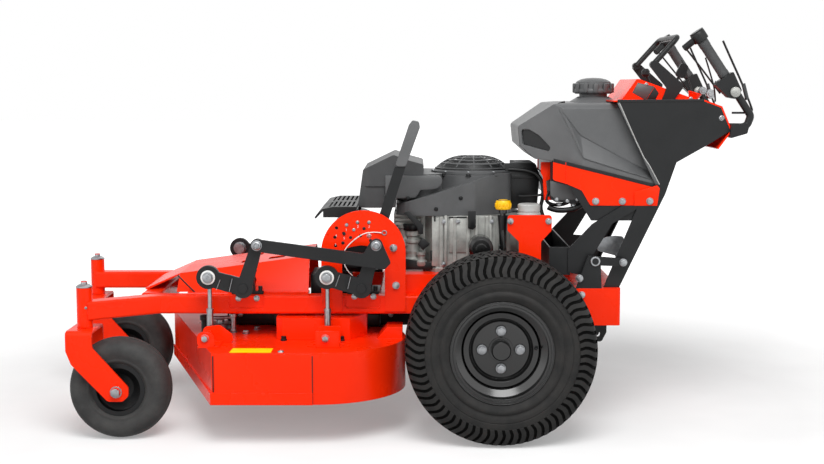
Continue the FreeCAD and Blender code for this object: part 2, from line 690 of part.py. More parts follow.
def lift_bearings():
    """Pillow blocks on the rails that carry the two lift shafts, each with its clamp bolt behind."""
    blocks = []
    half = BEARING_HALF_LENGTH
    for x in (CRANK_FRONT_X, CRANK_REAR_X):
        for y in (BEARING_INSET - RAIL_CENTRE, RAIL_CENTRE - BEARING_INSET):
            block = plate_y([(x - half, RAIL_TOP), (x + half, RAIL_TOP), (x + half - 4, CRANK_Z + 22),
                             (x - half + 4, CRANK_Z + 22)], y - 9, y + 9, 8)
            base = box(x - half - 22, x + half + 22, y - 9, y + 9, RAIL_TOP, RAIL_TOP + 8)
            bolts = [disc_z(x + side, y, 6, RAIL_TOP, RAIL_TOP + 22) for side in (-half - 13, half + 13)]
            block = fused([block, base] + bolts)
            blocks.append(block.cut(disc_y(x, CRANK_Z, LIFT_SHAFT_RADIUS + BEARING_CLEARANCE, y - 20,
                                           y + 20)))
    return group(blocks)


def rear_frame_box():
    """The folded box that closes the rear of the frame, open below and in front."""
    x1 = RAIL_REAR_X + PLATE
    side = RAIL_OUTER + PLATE
    outer = plate_z([(REAR_BOX_FRONT_X, -side), (x1, -side), (x1, side), (REAR_BOX_FRONT_X, side)],
                    REAR_BOX_BOTTOM, REAR_BOX_TOP, PLATE_CORNER)
    inside = box(REAR_BOX_FRONT_X - 1, RAIL_REAR_X, -RAIL_OUTER, RAIL_OUTER, REAR_BOX_BOTTOM - 1,
                 REAR_BOX_TOP - PLATE)
    return outer.cut(inside)


def rear_hitch():
    """Two ears under the rear box with a bore for a drawbar pin."""
    x0 = HITCH_PIN_X - 39
    outer = HITCH_HALF_WIDTH
    plate = plate_y([(x0, REAR_BOX_BOTTOM + 4), (RAIL_REAR_X, REAR_BOX_BOTTOM + 4),
                     (RAIL_REAR_X, HITCH_PIN_Z + 6), (HITCH_PIN_X + 12, HITCH_PIN_Z - 22),
                     (HITCH_PIN_X - 12, HITCH_PIN_Z - 22), (x0, HITCH_PIN_Z + 32)], -outer,
                    -outer + HITCH_PLATE, 10)
    plate = plate.cut(disc_y(HITCH_PIN_X, HITCH_PIN_Z, HITCH_PIN_RADIUS, -outer - 1, outer))
    plate = plate.cut(box(x0 - 1, RAIL_REAR_X + 1, -outer - 1, outer, REAR_BOX_BOTTOM, REAR_BOX_TOP))
    bar = box(x0 + 5, RAIL_REAR_X, -outer, outer, REAR_BOX_BOTTOM - 8, REAR_BOX_BOTTOM)
    return fused([plate, mirrored(plate), bar])


def engine_plate():
    """The engine's bed: a channel between the rails with a hole for the clutch."""
    x0, x1 = ENGINE_PLATE_FRONT_X, ENGINE_PLATE_REAR_X
    edge = RAIL_INNER + PLATE
    top = box(x0, x1, -edge, edge, ENGINE_PLATE_Z - PLATE, ENGINE_PLATE_Z)
    opening = disc_z(ENGINE_X, 0, 60, ENGINE_PLATE_Z - 20, ENGINE_PLATE_Z + 1)
    flange = plate_y([(x0, RAIL_TOP), (x1, RAIL_TOP), (x1, ENGINE_PLATE_Z), (x0 + 14, ENGINE_PLATE_Z),
                      (x0, ENGINE_PLATE_Z - 14)], -edge, -RAIL_INNER)
    return fused([top.cut(opening), flange, mirrored(flange)])


def front_cover():
    """The belt guard between the rails: a folded cover that slopes down to the front tube."""
    front_x, rear_x = COVER_FRONT_X, COVER_REAR_X
    front_z, rear_z = COVER_FRONT_Z, COVER_REAR_Z
    crease, foot = COVER_CREASE, COVER_FOOT
    base = RAIL_TOP + 2
    sheet = COVER_SHEET
    nose_x = CROSS_FRONT_X - RAIL_SIZE / 2

    def section(x, crease_z, inset):
        c, f = crease - inset * 0.6, foot - inset
        return outline([V(x, -f, base - inset), V(x, -c, crease_z - inset), V(x, c, crease_z - inset),
                        V(x, f, base - inset)], 0)

    outer = Part.makeLoft([section(front_x, front_z, 0), section(rear_x, rear_z, 0)], True, True)
    inner = Part.makeLoft([section(front_x - 1, front_z, sheet), section(rear_x + 1, rear_z, sheet)],
                          True, True)
    shell = outer.cut(inner)
    apron = plate_y([(front_x, front_z), (front_x, front_z - sheet * 1.5), (nose_x + 6, RAIL_TOP),
                     (nose_x - 2, RAIL_TOP), (nose_x - 2, RAIL_TOP + sheet)], -crease, crease)
    rise = (rear_z - front_z) / (rear_x - front_x)
    slots = []
    for x in COVER_SLOTS_X:
        for y in (-COVER_SLOT - 45, 45):
            top = front_z + rise * (x - front_x)
            corners = [(x, y), (x + COVER_SLOT, y), (x + COVER_SLOT, y + COVER_SLOT), (x, y + COVER_SLOT)]
            slots.append(plate_z(corners, top - 30, top + 30, 6))
    passage = disc_y(CRANK_FRONT_X, CRANK_Z, LIFT_SHAFT_RADIUS + RUNNING_GAP + 1, -RAIL_OUTER, RAIL_OUTER)
    flange = box(rear_x - 340, rear_x, -RAIL_INNER - 4, 30 - foot, RAIL_TOP, base)
    cover = fused([shell, apron, flange, mirrored(flange)]).cut(passage)
    return cover.cut(fused(slots))


def height_dial():
    """The arch on the left rail whose rows of holes set the cutting height."""
    y0 = -RAIL_OUTER - DIAL_SHEET
    arch = disc_y(DIAL_X, DIAL_Z, DIAL_RADIUS, y0, -RAIL_OUTER)
    legs = box(DIAL_X - DIAL_RADIUS, DIAL_X + DIAL_RADIUS, y0, -RAIL_OUTER, DIAL_FOOT_Z, DIAL_Z)
    opening = disc_y(DIAL_X, DIAL_Z, DIAL_OPENING_RADIUS, y0 - 1, -RAIL_OUTER + 1)
    between = box(DIAL_X - DIAL_OPENING_RADIUS, DIAL_X + DIAL_OPENING_RADIUS, y0 - 1, -RAIL_OUTER + 1,
                  DIAL_FOOT_Z - 1, DIAL_Z)
    dial = fused([arch, legs]).cut(fused([opening, between]))
    lower_half = box(DIAL_X - 300, DIAL_X + 300, y0 - 2, -RAIL_OUTER + 2, 0, DIAL_FOOT_Z)
    dial = dial.cut(lower_half)
    holes = []
    for row, reach in enumerate(DIAL_ROWS):
        for step in range(5):
            angle = math.radians(-34 + 9 * (row % 2) / 2 + DIAL_STEP * step)
            x, z = CRANK_REAR_X + reach * math.sin(angle), CRANK_Z + reach * math.cos(angle)
            if math.hypot(x - DIAL_X, z - DIAL_Z) > DIAL_OPENING_RADIUS + 2.5 * DIAL_HOLE_RADIUS:
                holes.append(disc_y(x, z, DIAL_HOLE_RADIUS, y0 - 1, -RAIL_OUTER + 1))
    return dial.cut(fused(holes))


# ---------------------------------------------------------------- engine
def engine_block():
    """The crankcase as one block with its cast ribs, and the finned cylinders in front."""
    half = CRANKCASE_HALF
    case = plate_z(both_sides(CASE_PLAN, half), ENGINE_PLATE_Z, CRANKCASE_TOP, 8)
    flange = plate_z(both_sides(CASE_FLANGE_PLAN, half + CASE_FLANGE), ENGINE_PLATE_Z,
                     ENGINE_PLATE_Z + 12, 8)
    ribs = [box(x, x + CASE_RIB_WIDTH, -half - CASE_RIB, half + CASE_RIB, ENGINE_PLATE_Z + 10,
                CRANKCASE_TOP - 2) for x in CASE_RIBS_X]
    bottom = ENGINE_PLATE_Z + 40
    left_head = box(HEAD_FRONT_X, HEAD_REAR_X, -HEAD_OUTER, -HEAD_INNER, bottom, CRANKCASE_TOP)
    fins = int((CRANKCASE_TOP - bottom) / FIN_PITCH) - 1
    for i in range(1, fins + 1):
        z = bottom + FIN_PITCH * i
        left_head = left_head.cut(box(HEAD_FRONT_X - 1, HEAD_REAR_X - 17, -HEAD_OUTER - 1,
                                      FIN_DEPTH - HEAD_OUTER, z, z + FIN_GAP))
    return fused([case, flange] + ribs + [left_head, mirrored(left_head)])


def engine_shroud():
    """The moulded cooling shroud: a drum round the fan, a scoop and an air duct in front."""
    drum = disc_z(ENGINE_X, 0, SHROUD_RADIUS, CRANKCASE_TOP, SHROUD_TOP - 4)
    skirt = plate_z(both_sides(SHROUD_PLAN, SHROUD_HALF), CRANKCASE_TOP, SHROUD_TOP, 26)
    skirt = trimmed(skirt, (SHROUD_SLOPE_X, 0, SHROUD_LOW_TOP), (-0.3, 0, 1))
    duct = plate_z(both_sides(DUCT_PLAN, DUCT_HALF), CRANKCASE_TOP + 40, SHROUD_TOP, 24)
    collar = disc_z(ENGINE_X, 0, GUARD_RADIUS + 4, SHROUD_TOP - 30, SHROUD_TOP - 10)
    low, high = REAR_DUCT_SIDE[0][1], SHROUD_TOP - 6
    rear = plate_y(REAR_DUCT_SIDE, -REAR_DUCT_LEFT, REAR_DUCT_RIGHT, 14)
    grooves = [box(REAR_GROOVE_X, REAR_GROOVE_X + 50, 10 - REAR_DUCT_LEFT, REAR_DUCT_RIGHT - 10, z,
                   z + 4) for z in range(int(low) + 13, int(high), int(FIN_PITCH))]
    rear = rear.cut(disc_z(ENGINE_X, 0, SHROUD_RADIUS, low - 10, SHROUD_TOP + 100)).cut(fused(grooves))
    joint = box(ENGINE_X + 100, ENGINE_X + 120, -40, 40, CRANKCASE_TOP + 25, SHROUD_TOP - 20)
    seat = disc_z(ENGINE_X, 0, GUARD_RADIUS, SHROUD_TOP - 4, SHROUD_TOP + GUARD_DOME)
    foot, crown = SHROUD_TOP - 5, SHROUD_TOP + GUARD_DOME - 10
    screen = turned_z([(0, foot), (GUARD_RADIUS - 16, foot), (GUARD_RADIUS - 18, foot + 7),
                       (GUARD_RADIUS - 43, crown - 14), (12, crown), (0, crown)], ENGINE_X, 0)
    return fused([fused([drum, skirt, duct, collar, joint, rear]).cut(seat), screen])


def fan_guard():
    """A domed grille over the fan: rings and ribs left between rows of windows."""
    r, top = GUARD_RADIUS, SHROUD_TOP + GUARD_DOME
    z0 = SHROUD_TOP - 4
    sheet = GUARD_SHEET
    rim = z0 + GUARD_RIM
    outer = [line(V(0, 0, top), V(12, 0, top)), arc(V(12, 0, top), V(r * 0.66, 0, top - 13),
                                                    V(r - 8, 0, rim)),
             line(V(r - 8, 0, rim), V(r, 0, rim)), line(V(r, 0, rim), V(r, 0, z0)),
             line(V(r, 0, z0), V(r - 11, 0, z0)), line(V(r - 11, 0, z0), V(r - 11, 0, rim - sheet)),
             arc(V(r - 11, 0, rim - sheet), V(r * 0.66 - 1, 0, top - 13 - sheet), V(12, 0, top - sheet)),
              line(V(12, 0, top - sheet), V(0, 0, top - sheet)),
             line(V(0, 0, top - sheet), V(0, 0, top))]
    dome = Part.Face(Part.Wire(Part.__sortEdges__(outer))).revolve(V(0, 0, 0), Z_AXIS, 360)
    windows = []
    sweep = 360 / GUARD_SECTORS
    start, pitch = 24.0, (r - 14 - 24.0) / GUARD_RINGS
    for ring in range(GUARD_RINGS):
        r0 = start + ring * pitch
        slot = Part.Face(outline([V(r0, 0, z0 - 1), V(r0 + pitch - 3.5, 0, z0 - 1),
                                  V(r0 + pitch - 3.5, 0, top + 5), V(r0, 0, top + 5)], 0))
        spoke = math.degrees(4.0 / (r0 + pitch / 2))
        for sector in range(GUARD_SECTORS):
            window = slot.revolve(V(0, 0, 0), Z_AXIS, sweep - spoke)
            window.rotate(V(0, 0, 0), Z_AXIS, sector * sweep + spoke / 2)
            windows.append(window)
    dome = dome.cut(group(windows))
    dome.translate(V(ENGINE_X, 0, 0))
    return dome


def air_cleaner():
    """The air cleaner's box, with a roof that slopes both ways and cut-back front corners."""
    half = CLEANER_HALF
    body = plate_y(CLEANER_SIDE, -half, half, 8).common(plate_z(both_sides(CLEANER_PLAN, half), 600, 800,
                                                                 10))
    front, rear = CLEANER_PLAN[0][0], CLEANER_PLAN[-1][0]
    ledge = box(front - 1, rear + 10, -half - 1, 4 - half, 600, CLEANER_LEDGE_Z)
    return body.cut(fused([ledge, mirrored(ledge)]))


def muffler():
    """The silencer across the front of the engine, under a louvred guard and its tray."""
    r, end = MUFFLER_RADIUS, MUFFLER_HALF
    body = turned_y([(0, -end), (r - 14, -end), (r, 14 - end), (r, end - 14), (r - 14, end), (0, end)],
                    MUFFLER_X, 0, MUFFLER_Z)
    pipe = box(MUFFLER_X + 60, HEAD_FRONT_X + 10, -60, 60, MUFFLER_Z - 26, MUFFLER_Z + 14)
    straps = [box(MUFFLER_X - 12, MUFFLER_X + 12, y - 10, y + 10, MUFFLER_Z + 60,
                  GUARD_Z - 6) for y in (-GUARD_HALF + 70, GUARD_HALF - 70)]
    half = GUARD_HALF
    rear = LIP_SIDE[4][0]
    guard = plate_y(LIP_SIDE, -half, half, 14)
    front = LOUVRE_FRONT_X - 14
    tray = box(front, rear, -half, half, GUARD_Z - TRAY_DROP, GUARD_Z - 6)
    tray = tray.cut(box(front + 6, rear + 1, 4 - half, half - 4, GUARD_Z - TRAY_DROP - 1, GUARD_Z - 10))
    slots = []
    for i in range(LOUVRES):
        x = LOUVRE_FRONT_X + LOUVRE_PITCH * i
        slots.append(box(x, x + LOUVRE_WIDTH, LOUVRE_INNER, LOUVRE_OUTER, GUARD_Z - 20, GUARD_Z + 1))
    slots = fused(slots + [mirrored(slot) for slot in slots])
    return fused([body, pipe, guard.cut(slots), tray.cut(slots)] + straps)


def oil_fittings():
    """The spin-on oil filter on the engine's left, and the dipstick in its tube."""
    face = -CRANKCASE_HALF - CASE_RIB
    end = face - FILTER_LENGTH
    canister = turned_y([(0, end), (FILTER_RADIUS - 8, end), (FILTER_RADIUS, end + 8),
                         (FILTER_RADIUS, face), (0, face)], FILTER_X, 0, FILTER_Z)
    x, y, top = DIPSTICK_X, DIPSTICK_Y, DIPSTICK_TOP
    tube = disc_z(x, y, 8, ENGINE_PLATE_Z + 40, top - 6)
    foot = box(x - 9, x + 9, y - 8, -CRANKCASE_HALF - CASE_FLANGE, ENGINE_PLATE_Z + 20,
               ENGINE_PLATE_Z + 46)
    neck = disc_z(x, y, 12, top - 12, top)
    r = DIPSTICK_CAP
    cap = turned_z([(0, top), (r - 2, top), (r, top + 3), (r, top + 20), (r - 4, top + 26),
                    (0, top + 26)], x, y)
    return group([canister, fused([tube, foot, neck, cap])])


def oil_reservoir():
    """The small can that tops up the hydraulic oil, with its stepped neck."""
    r, low, high = RESERVOIR_RADIUS, RESERVOIR_BOTTOM, RESERVOIR_TOP
    return turned_z([(0, low), (r, low), (r, high - 26), (r - 4, high - 22), (r - 4, high - 19),
                     (r - 1, high - 16), (r - 1, high), (0, high)], RESERVOIR_X, 60 - RAIL_OUTER)


def reservoir_bracket():
    y0 = 25 - RAIL_OUTER
    return plate_y(BRACKET_T, y0, y0 + PLATE - 2, PLATE_CORNER)


def drive_units():
    """Two pumps with their pulleys and the blade clutch, all hung from the engine plate."""
    under = ENGINE_PLATE_Z - PLATE
    pump = box(PUMP_X - PUMP_HALF_LENGTH, PUMP_X + PUMP_HALF_LENGTH, -PUMP_Y - PUMP_HALF_WIDTH,
               PUMP_HALF_WIDTH - PUMP_Y, PUMP_BOTTOM, under)
    r, z = PULLEY_RADIUS, PUMP_BOTTOM
    pulley = turned_z([(0, z - 25), (r, z - 25), (r - 4, z - 19), (r - 10, z - 13), (r - 4, z - 6),
                       (r, z), (0, z)], PUMP_X, -PUMP_Y)
    one = fused([pump, pulley])
    r, z = CLUTCH_RADIUS, CLUTCH_BOTTOM
    clutch = turned_z([(0, z), (r - 4, z), (r, z + 6), (r, z + 32), (r - 12, z + 38), (r, z + 44),
                       (r, under - 6), (r - 14, under), (0, under)], ENGINE_X, 0)
    return group([one, mirrored(one), clutch])


# ---------------------------------------------------------------- tank, tower and console
def panel_recess():
    """The sunk panel on each side of the tank, with walls that slope out to the ridge."""
    w = TANK_HALF_WIDTH
    floor_outline = TANK_PANEL + [(560, 711), (560, 1000), (178, 1000)]
    edge_outline = TANK_RIDGE + [(560, 693), (560, 1000), (166, 1000)]
    floor = outline([V(x, -TANK_PANEL_HALF, z) for x, z in floor_outline], 0)
    edge = outline([V(x, -w - 1, z) for x, z in edge_outline], 0)
    return Part.makeLoft([floor, edge], True, True)


def fuel_tank():
    """A moulded tank with a blunt nose, a sunk side panel and soft shoulders."""
    w, nose_x, full_x = TANK_HALF_WIDTH, TANK_NOSE_X, TANK_FULL_X
    flare = w - TANK_NOSE_HALF
    beyond = 500
    side = plate_y(TANK_SIDE, -w, w, 10)
    plan = both_sides([(nose_x - 26, flare + 8), (nose_x, flare), (full_x, 0), (beyond, 0)], w)
    section = plate_x([(-w - 1, 600), (w + 1, 600), (w + 1, 800), (TANK_PANEL_HALF, TANK_TOP),
                       (-TANK_PANEL_HALF, TANK_TOP), (-w - 1, 800)], 0, beyond, TANK_SHOULDER)
    body = side.common(plate_z(plan, 600, 1000, 14)).common(section)
    recess = panel_recess()
    body = body.cut(recess).cut(mirrored(recess))
    pocket = plate_y([(x - nose_x, z) for x, z in TANK_POCKET], -30, 7, 8)
    pocket.rotate(V(0, 0, 0), Z_AXIS, -math.degrees(math.atan2(flare, full_x - nose_x)))
    pocket.translate(V(nose_x, -TANK_NOSE_HALF, 0))
    body = body.cut(pocket).cut(mirrored(pocket))
    mound = NECK_RADIUS + 18
    boss = turned_z([(0, TANK_TOP - 9), (mound, TANK_TOP - 9), (mound, TANK_TOP),
                     (mound - 12, TANK_TOP + 10), (0, TANK_TOP + 10)], CAP_X, CAP_Y)
    neck = disc_z(CAP_X, CAP_Y, NECK_RADIUS, TANK_TOP, TANK_TOP + NECK_HEIGHT)
    return fused([body, boss, neck])


def fuel_cap():
    """A screw cap with finger lobes round its rim."""
    z0 = TANK_TOP + NECK_HEIGHT
    z1 = z0 + CAP_HEIGHT
    cap = turned_z([(0, z0), (CAP_RADIUS - 3, z0), (CAP_RADIUS, z0 + 3), (CAP_RADIUS, z1 - 7),
                    (CAP_RADIUS - 9, z1), (0, z1)], CAP_X, CAP_Y)
    flutes = []
    for lobe in range(CAP_LOBES):
        angle = math.radians(360 / CAP_LOBES * lobe)
        x = CAP_X + (CAP_RADIUS + 5) * math.cos(angle)
        y = CAP_Y + (CAP_RADIUS + 5) * math.sin(angle)
        flutes.append(disc_z(x, y, 9, z0 + 6, z1 + 1))
    return cap.cut(group(flutes))


def tank_skirt():
    """The red side plates that hold the tank down."""
    y1 = -TANK_HALF_WIDTH
    side = plate_y(SKIRT_SIDE, y1 - SKIRT_SHEET, y1, PLATE_CORNER)
    return group([side, mirrored(side)])


def tower_side():
    """The left side of the tower: console cheek, rear upright with its flange, and front diagonal."""
    y0, y1 = -TOWER_Y - TOWER_SHEET, -TOWER_Y
    console = plate_y(CONSOLE_SIDE, y0, y1, 3)
    upright = plate_y(UPRIGHT_SIDE, y0, y1)
    (top_x, top_z), (foot_x, foot_z) = UPRIGHT_SIDE[:2]
    part_way = 0.77
    high_x, high_z = foot_x + (top_x - foot_x) * part_way, foot_z + (top_z - foot_z) * part_way
    flange = plate_y([(high_x - TOWER_SHEET, high_z), (high_x, high_z), (foot_x, foot_z),
                      (foot_x - TOWER_SHEET, foot_z)], y1, y1 + FLANGE_WIDTH)
    diagonal = plate_y(DIAGONAL_SIDE, y0, y1)
    return fused([console, upright, flange, diagonal])


def brake_mount():
    """The plate that stands on the rear box and carries a parking brake's arm and its pivot."""
    y0 = -RAIL_OUTER - PLATE + 1
    face = y0 - BRAKE_SHEET
    plate = plate_y(BRAKE_PLATE, y0, y0 + BRAKE_SHEET)
    arm = plate_y(BRAKE_ARM, face, y0, 5)
    heads = [disc_y(269, 474, 9, face - 5, y0), disc_y(346, 471, 6, face - 5, face),
             disc_y(226, 426, 7, face - 1, y0)]
    return fused([plate, arm] + heads)


def tower_tray():
    """The trough in front of the tower, and two strips, a floor and a sump box under the tank."""
    y = TOWER_Y
    sheet = TRAY_SHEET
    front = box(TRAY_FRONT_X, TRAY_FRONT_X + sheet, -y, y, TRAY_BOTTOM, TRAY_TOP)
    floor = box(TRAY_FRONT_X, TRAY_REAR_X, -y, y, TRAY_BOTTOM, TRAY_BOTTOM + sheet)
    back = box(TRAY_REAR_X - sheet, TRAY_REAR_X, -y, y, TRAY_BOTTOM, TRAY_TOP)
    ends = [box(TRAY_FRONT_X, TRAY_REAR_X, y0, y0 + sheet, TRAY_BOTTOM, TRAY_TOP) for y0 in (-y,
                                                                                             y - sheet)]
    strip = plate_y(UNDER_STRIP, -TANK_HALF_WIDTH, sheet - TANK_HALF_WIDTH)
    shelf_front, shelf_rear, shelf_z = 300, 417, 584
    shelf = box(shelf_front, shelf_rear, -TANK_HALF_WIDTH, TANK_HALF_WIDTH, shelf_z, shelf_z + sheet)
    sump = plate_y(SUMP_SIDE, -SUMP_HALF, SUMP_HALF)
    return group([fused([front, floor, back] + ends), fused([strip, mirrored(strip), shelf]), sump])


def rear_panel():
    """A bare metal plate that stands on the rear box, between the tower's sides."""
    return plate_y(REAR_PANEL, REAR_PANEL_Y, REAR_PANEL_Y + TRAY_SHEET, 6)


def console_top():
    """The folded red deck of the console, with the raised lid that houses the controls."""
    deck = plate_y(CONSOLE_DECK, -TOWER_Y - TOWER_SHEET, TOWER_Y + TOWER_SHEET)
    lid = plate_y(LID_SIDE, -LID_HALF, LID_HALF, 3)
    hollow = plate_y(LID_HOLLOW, CONSOLE_SHEET - LID_HALF, LID_HALF - CONSOLE_SHEET)
    return fused([lid.cut(hollow), deck])


def handle(side_y):
    """An upright grip with its cap, its bracket, and the bent tube that carries it."""
    top, foot = V(GRIP_TOP_X, side_y, GRIP_TOP_Z), V(GRIP_FOOT_X, side_y, GRIP_FOOT_Z)
    along = (top - foot).normalize()
    grip = rod(tuple(top), tuple(foot), GRIP_RADIUS)
    cap = rod(tuple(top), tuple(top + along * GRIP_CAP_LENGTH), GRIP_CAP_RADIUS)
    bracket = plate_y(GRIP_BRACKET, side_y - 16, side_y + 16, 4)
    bracket = bracket.cut(Part.makeCylinder(GRIP_RADIUS * 2, 400, foot, along))
    pivot = disc_y(646, 939, 13, side_y - 20, side_y + 20)
    tube = bent_tube([(x, side_y, z) for x, z in HANDLE_TUBE], TUBE_RADIUS, 16)
    block = plate_y(HANDLE_BLOCK, side_y - 18, side_y + 18, 4)
    return fused([grip, cap, bracket, pivot, tube, block])


def control_levers():
    """The speed bail on its two arms, with the throttle knob and the blade switch on the lid."""
    r = BAIL_RADIUS
    outer = LID_HALF + 2 + CONTROL_ARM_SHEET
    y = LID_HALF - r
    (foot_x, foot_z), (top_x, top_z) = BAIL_FOOT, BAIL_TOP
    bail = bent_tube([(foot_x, -y, foot_z), (top_x, -y, top_z), (top_x, y, top_z), (foot_x, y, foot_z)],
                     r, 22)
    arm = plate_y(CONTROL_ARM, -outer, CONTROL_ARM_SHEET - outer, 5)
    pivot = disc_y(foot_x, foot_z - 1, r + 3, -outer, r / 2 - y)
    z = KNOB_Z
    ball = turned_z([(0, z), (7, z), (12, z + 7), (12, z + 17), (7, z + 24), (0, z + 24)], KNOB_X, KNOB_Y)
    knob = fused([rod((KNOB_X + 18, KNOB_Y, 951.5), (KNOB_X + 2, KNOB_Y, z + 6), 4), ball])
    paddle = plate_y(PADDLE, SWITCH_Y - 6, SWITCH_Y + 6, 9)
    switch = fused([paddle, rod((530, SWITCH_Y, 985), (508, SWITCH_Y, 937), 4)])
    return group([fused([bail, arm, mirrored(arm), pivot, mirrored(pivot)]), knob, switch])


# ---------------------------------------------------------------- deck lift
def crank_arms(x):
    """The cross shaft with the lifting arm at each end; the arm steps out to its eye."""
    eye_x, eye_z = x - EYE_REACH, CRANK_Z + EYE_RISE
    pieces = [disc_y(x, CRANK_Z, LIFT_SHAFT_RADIUS, -CRANK_Y - CRANK_PLATE, CRANK_Y + CRANK_PLATE)]
    y0, y1 = -CRANK_Y - CRANK_PLATE, -CRANK_Y
    step = CRANK_STEP
    fold = [(x + 40, y0 + step), (x - 34, y0 + step), (x - 46, y0), (eye_x - 40, y0),
            (eye_x - 40, y1 - step), (x - 46, y1 - step), (x - 34, y1), (x + 40, y1)]
    web = [(x + 10, CRANK_Z - 24), (x + 10, CRANK_Z + 24), (eye_x + 8, eye_z + 20),
           (eye_x - 2, eye_z - 24)]
    shape = fused([plate_y(web, y0, y1), disc_y(x, CRANK_Z, CRANK_HUB_RADIUS, y0, y1)])
    arm = plate_z(fold, 0, 1000).common(shape)
    eye = disc_y(eye_x, eye_z, EYE_RADIUS, y0, y1)
    hub = disc_y(x, CRANK_Z, 12, y0, y0 + step + 1)
    arm = fused([arm, eye, hub]).cut(disc_y(eye_x, eye_z, BUSH_RADIUS + BEARING_CLEARANCE, y0 - 1,
                                            y1 + 1))
    return pieces + [arm, mirrored(arm)]


def lift_shaft(x):
    """A cross shaft with its arms and, on the left, the upright arm that the link bar joins."""
    y0 = -CRANK_Y - CRANK_PLATE
    pin_x, pin_z = x + TOP_PIN_REACH, CRANK_Z + TOP_PIN_RISE
    upright = plate_y([(x - 20, CRANK_Z), (x + 22, CRANK_Z - 10), (pin_x + 15, pin_z),
                       (pin_x - 16, pin_z + 6)], y0 + 5, y0 + 13, 4)
    boss = disc_y(pin_x, pin_z, PIN_BOSS_RADIUS, y0, y0 + 13)
    pin = disc_y(pin_x, pin_z, PIN_RADIUS, y0 - LINK_GAP - LINK_THICK - 4, y0)
    return fused(crank_arms(x) + [upright, boss, pin])


def lift_shaft_rear():
    """The rear shaft also carries the height lever, inside the dial."""
    x = CRANK_REAR_X
    half = LEVER_THICK / 2
    lever = plate_y([(x - 15, CRANK_Z), (x + 15, CRANK_Z), (LEVER_TOP_X, LEVER_TOP_Z),
                     (LEVER_TOP_X - LEVER_WIDTH, LEVER_TOP_Z)], LEVER_Y - half, LEVER_Y + half)
    boss = disc_y(x, CRANK_Z, CRANK_HUB_RADIUS, LEVER_Y - half, LEVER_Y + half)
    return fused([lift_shaft(x), lever, boss])


def lever_grip():
    """The moulded grip on the height lever."""
    x, z = LEVER_TOP_X, LEVER_TOP_Z
    top = z + LEVER_GRIP_LENGTH
    half = LEVER_THICK / 2 + 4
    return plate_y([(x, z), (x - LEVER_WIDTH, z), (x + 9, top - 12), (x + 19, top), (x + 37, top - 4),
                    (x + 39, top - 20)], LEVER_Y - half, LEVER_Y + half, 7)


def link_bar():
    """The bar that ties the two upright arms, with a drop plate at its rear end."""
    y1 = -CRANK_Y - CRANK_PLATE - LINK_GAP
    y0 = y1 - LINK_THICK
    z = CRANK_Z + TOP_PIN_RISE
    r = PIN_BOSS_RADIUS
    front, rear = CRANK_FRONT_X + TOP_PIN_REACH, CRANK_REAR_X + TOP_PIN_REACH
    side = [(front, z + r), (rear - 34, z - 22), (rear - 14, z + r - 3), (rear + 14, z + 12),
            (rear + 40, z - 48), (rear + 22, z - 66), (front, z - r)]
    bar = fused([plate_y(side, y0, y1, 9), disc_y(front, z, r, y0, y1), disc_y(rear, z, r, y0, y1)])
    for x in (front, rear):
        bar = bar.cut(disc_y(x, z, PIN_RADIUS + BEARING_CLEARANCE, y0 - 1, y1 + 1))
    return bar


def hanger_rod(x):
    """One rod on the left, hung by its white bush from the eye of a lifting arm."""
    eye_x, eye_z = x - EYE_REACH, CRANK_Z + EYE_RISE
    y = -CRANK_Y + ROD_HEAD_HALF + 1
    outer = -CRANK_Y - CRANK_PLATE
    bush = disc_y(eye_x, eye_z, BUSH_RADIUS, outer - 2, -CRANK_Y)
    head = disc_y(eye_x, eye_z, 16, -CRANK_Y, y + ROD_HEAD_HALF)
    bolt = disc_y(eye_x, eye_z, 12, outer - 7, outer)
    low = DECK_TOP + 8
    shank = rod((eye_x, y, eye_z - 10), (eye_x, y, low + 1), ROD_RADIUS)
    sleeve = rod((eye_x, y, low + ROD_SLEEVE_LENGTH), (eye_x, y, low), ROD_HEAD_HALF)
    nut = rod((eye_x, y, low + ROD_SLEEVE_LENGTH + 8), (eye_x, y, low + ROD_SLEEVE_LENGTH),
              ROD_HEAD_HALF + 1)
    return fused([bush, head, bolt, shank, sleeve, nut])


# ---------------------------------------------------------------- deck
def deck_edges(inset, z):
    """The deck seen from above: straight front and sides, round rear about both blades."""
    r = CHAMBER_RADIUS - inset
    left = V(SPINDLE_LEFT_X, -SPINDLE_HALF_Y, z)
    right = V(SPINDLE_RIGHT_X, SPINDLE_HALF_Y, z)
    across = (right - left).normalize()
    back = V(across.y, -across.x, 0)

    def rear_arc(centre, start, end):
        middle = (start + end).normalize()
        return arc(centre + start * r, centre + middle * r, centre + end * r)

    side_y = DECK_HALF - inset
    corners = [V(SPINDLE_RIGHT_X, side_y, z), V(DECK_RIGHT_CORNER_X + inset, side_y, z),
               V(DECK_NOSE_X + inset * 1.1, DECK_NOSE_Y, z), V(DECK_CORNER_X + inset, -side_y, z),
               V(SPINDLE_LEFT_X, -side_y, z)]
    edges = [rear_arc(left, V(0, -1, 0), back), line(left + back * r, right + back * r),
             rear_arc(right, back, V(0, 1, 0))]
    return edges + [line(a, b) for a, b in zip(corners, corners[1:])]


def deck_prism(inset, z0, z1):
    return Part.Face(Part.Wire(deck_edges(inset, z0))).extrude(V(0, 0, z1 - z0))


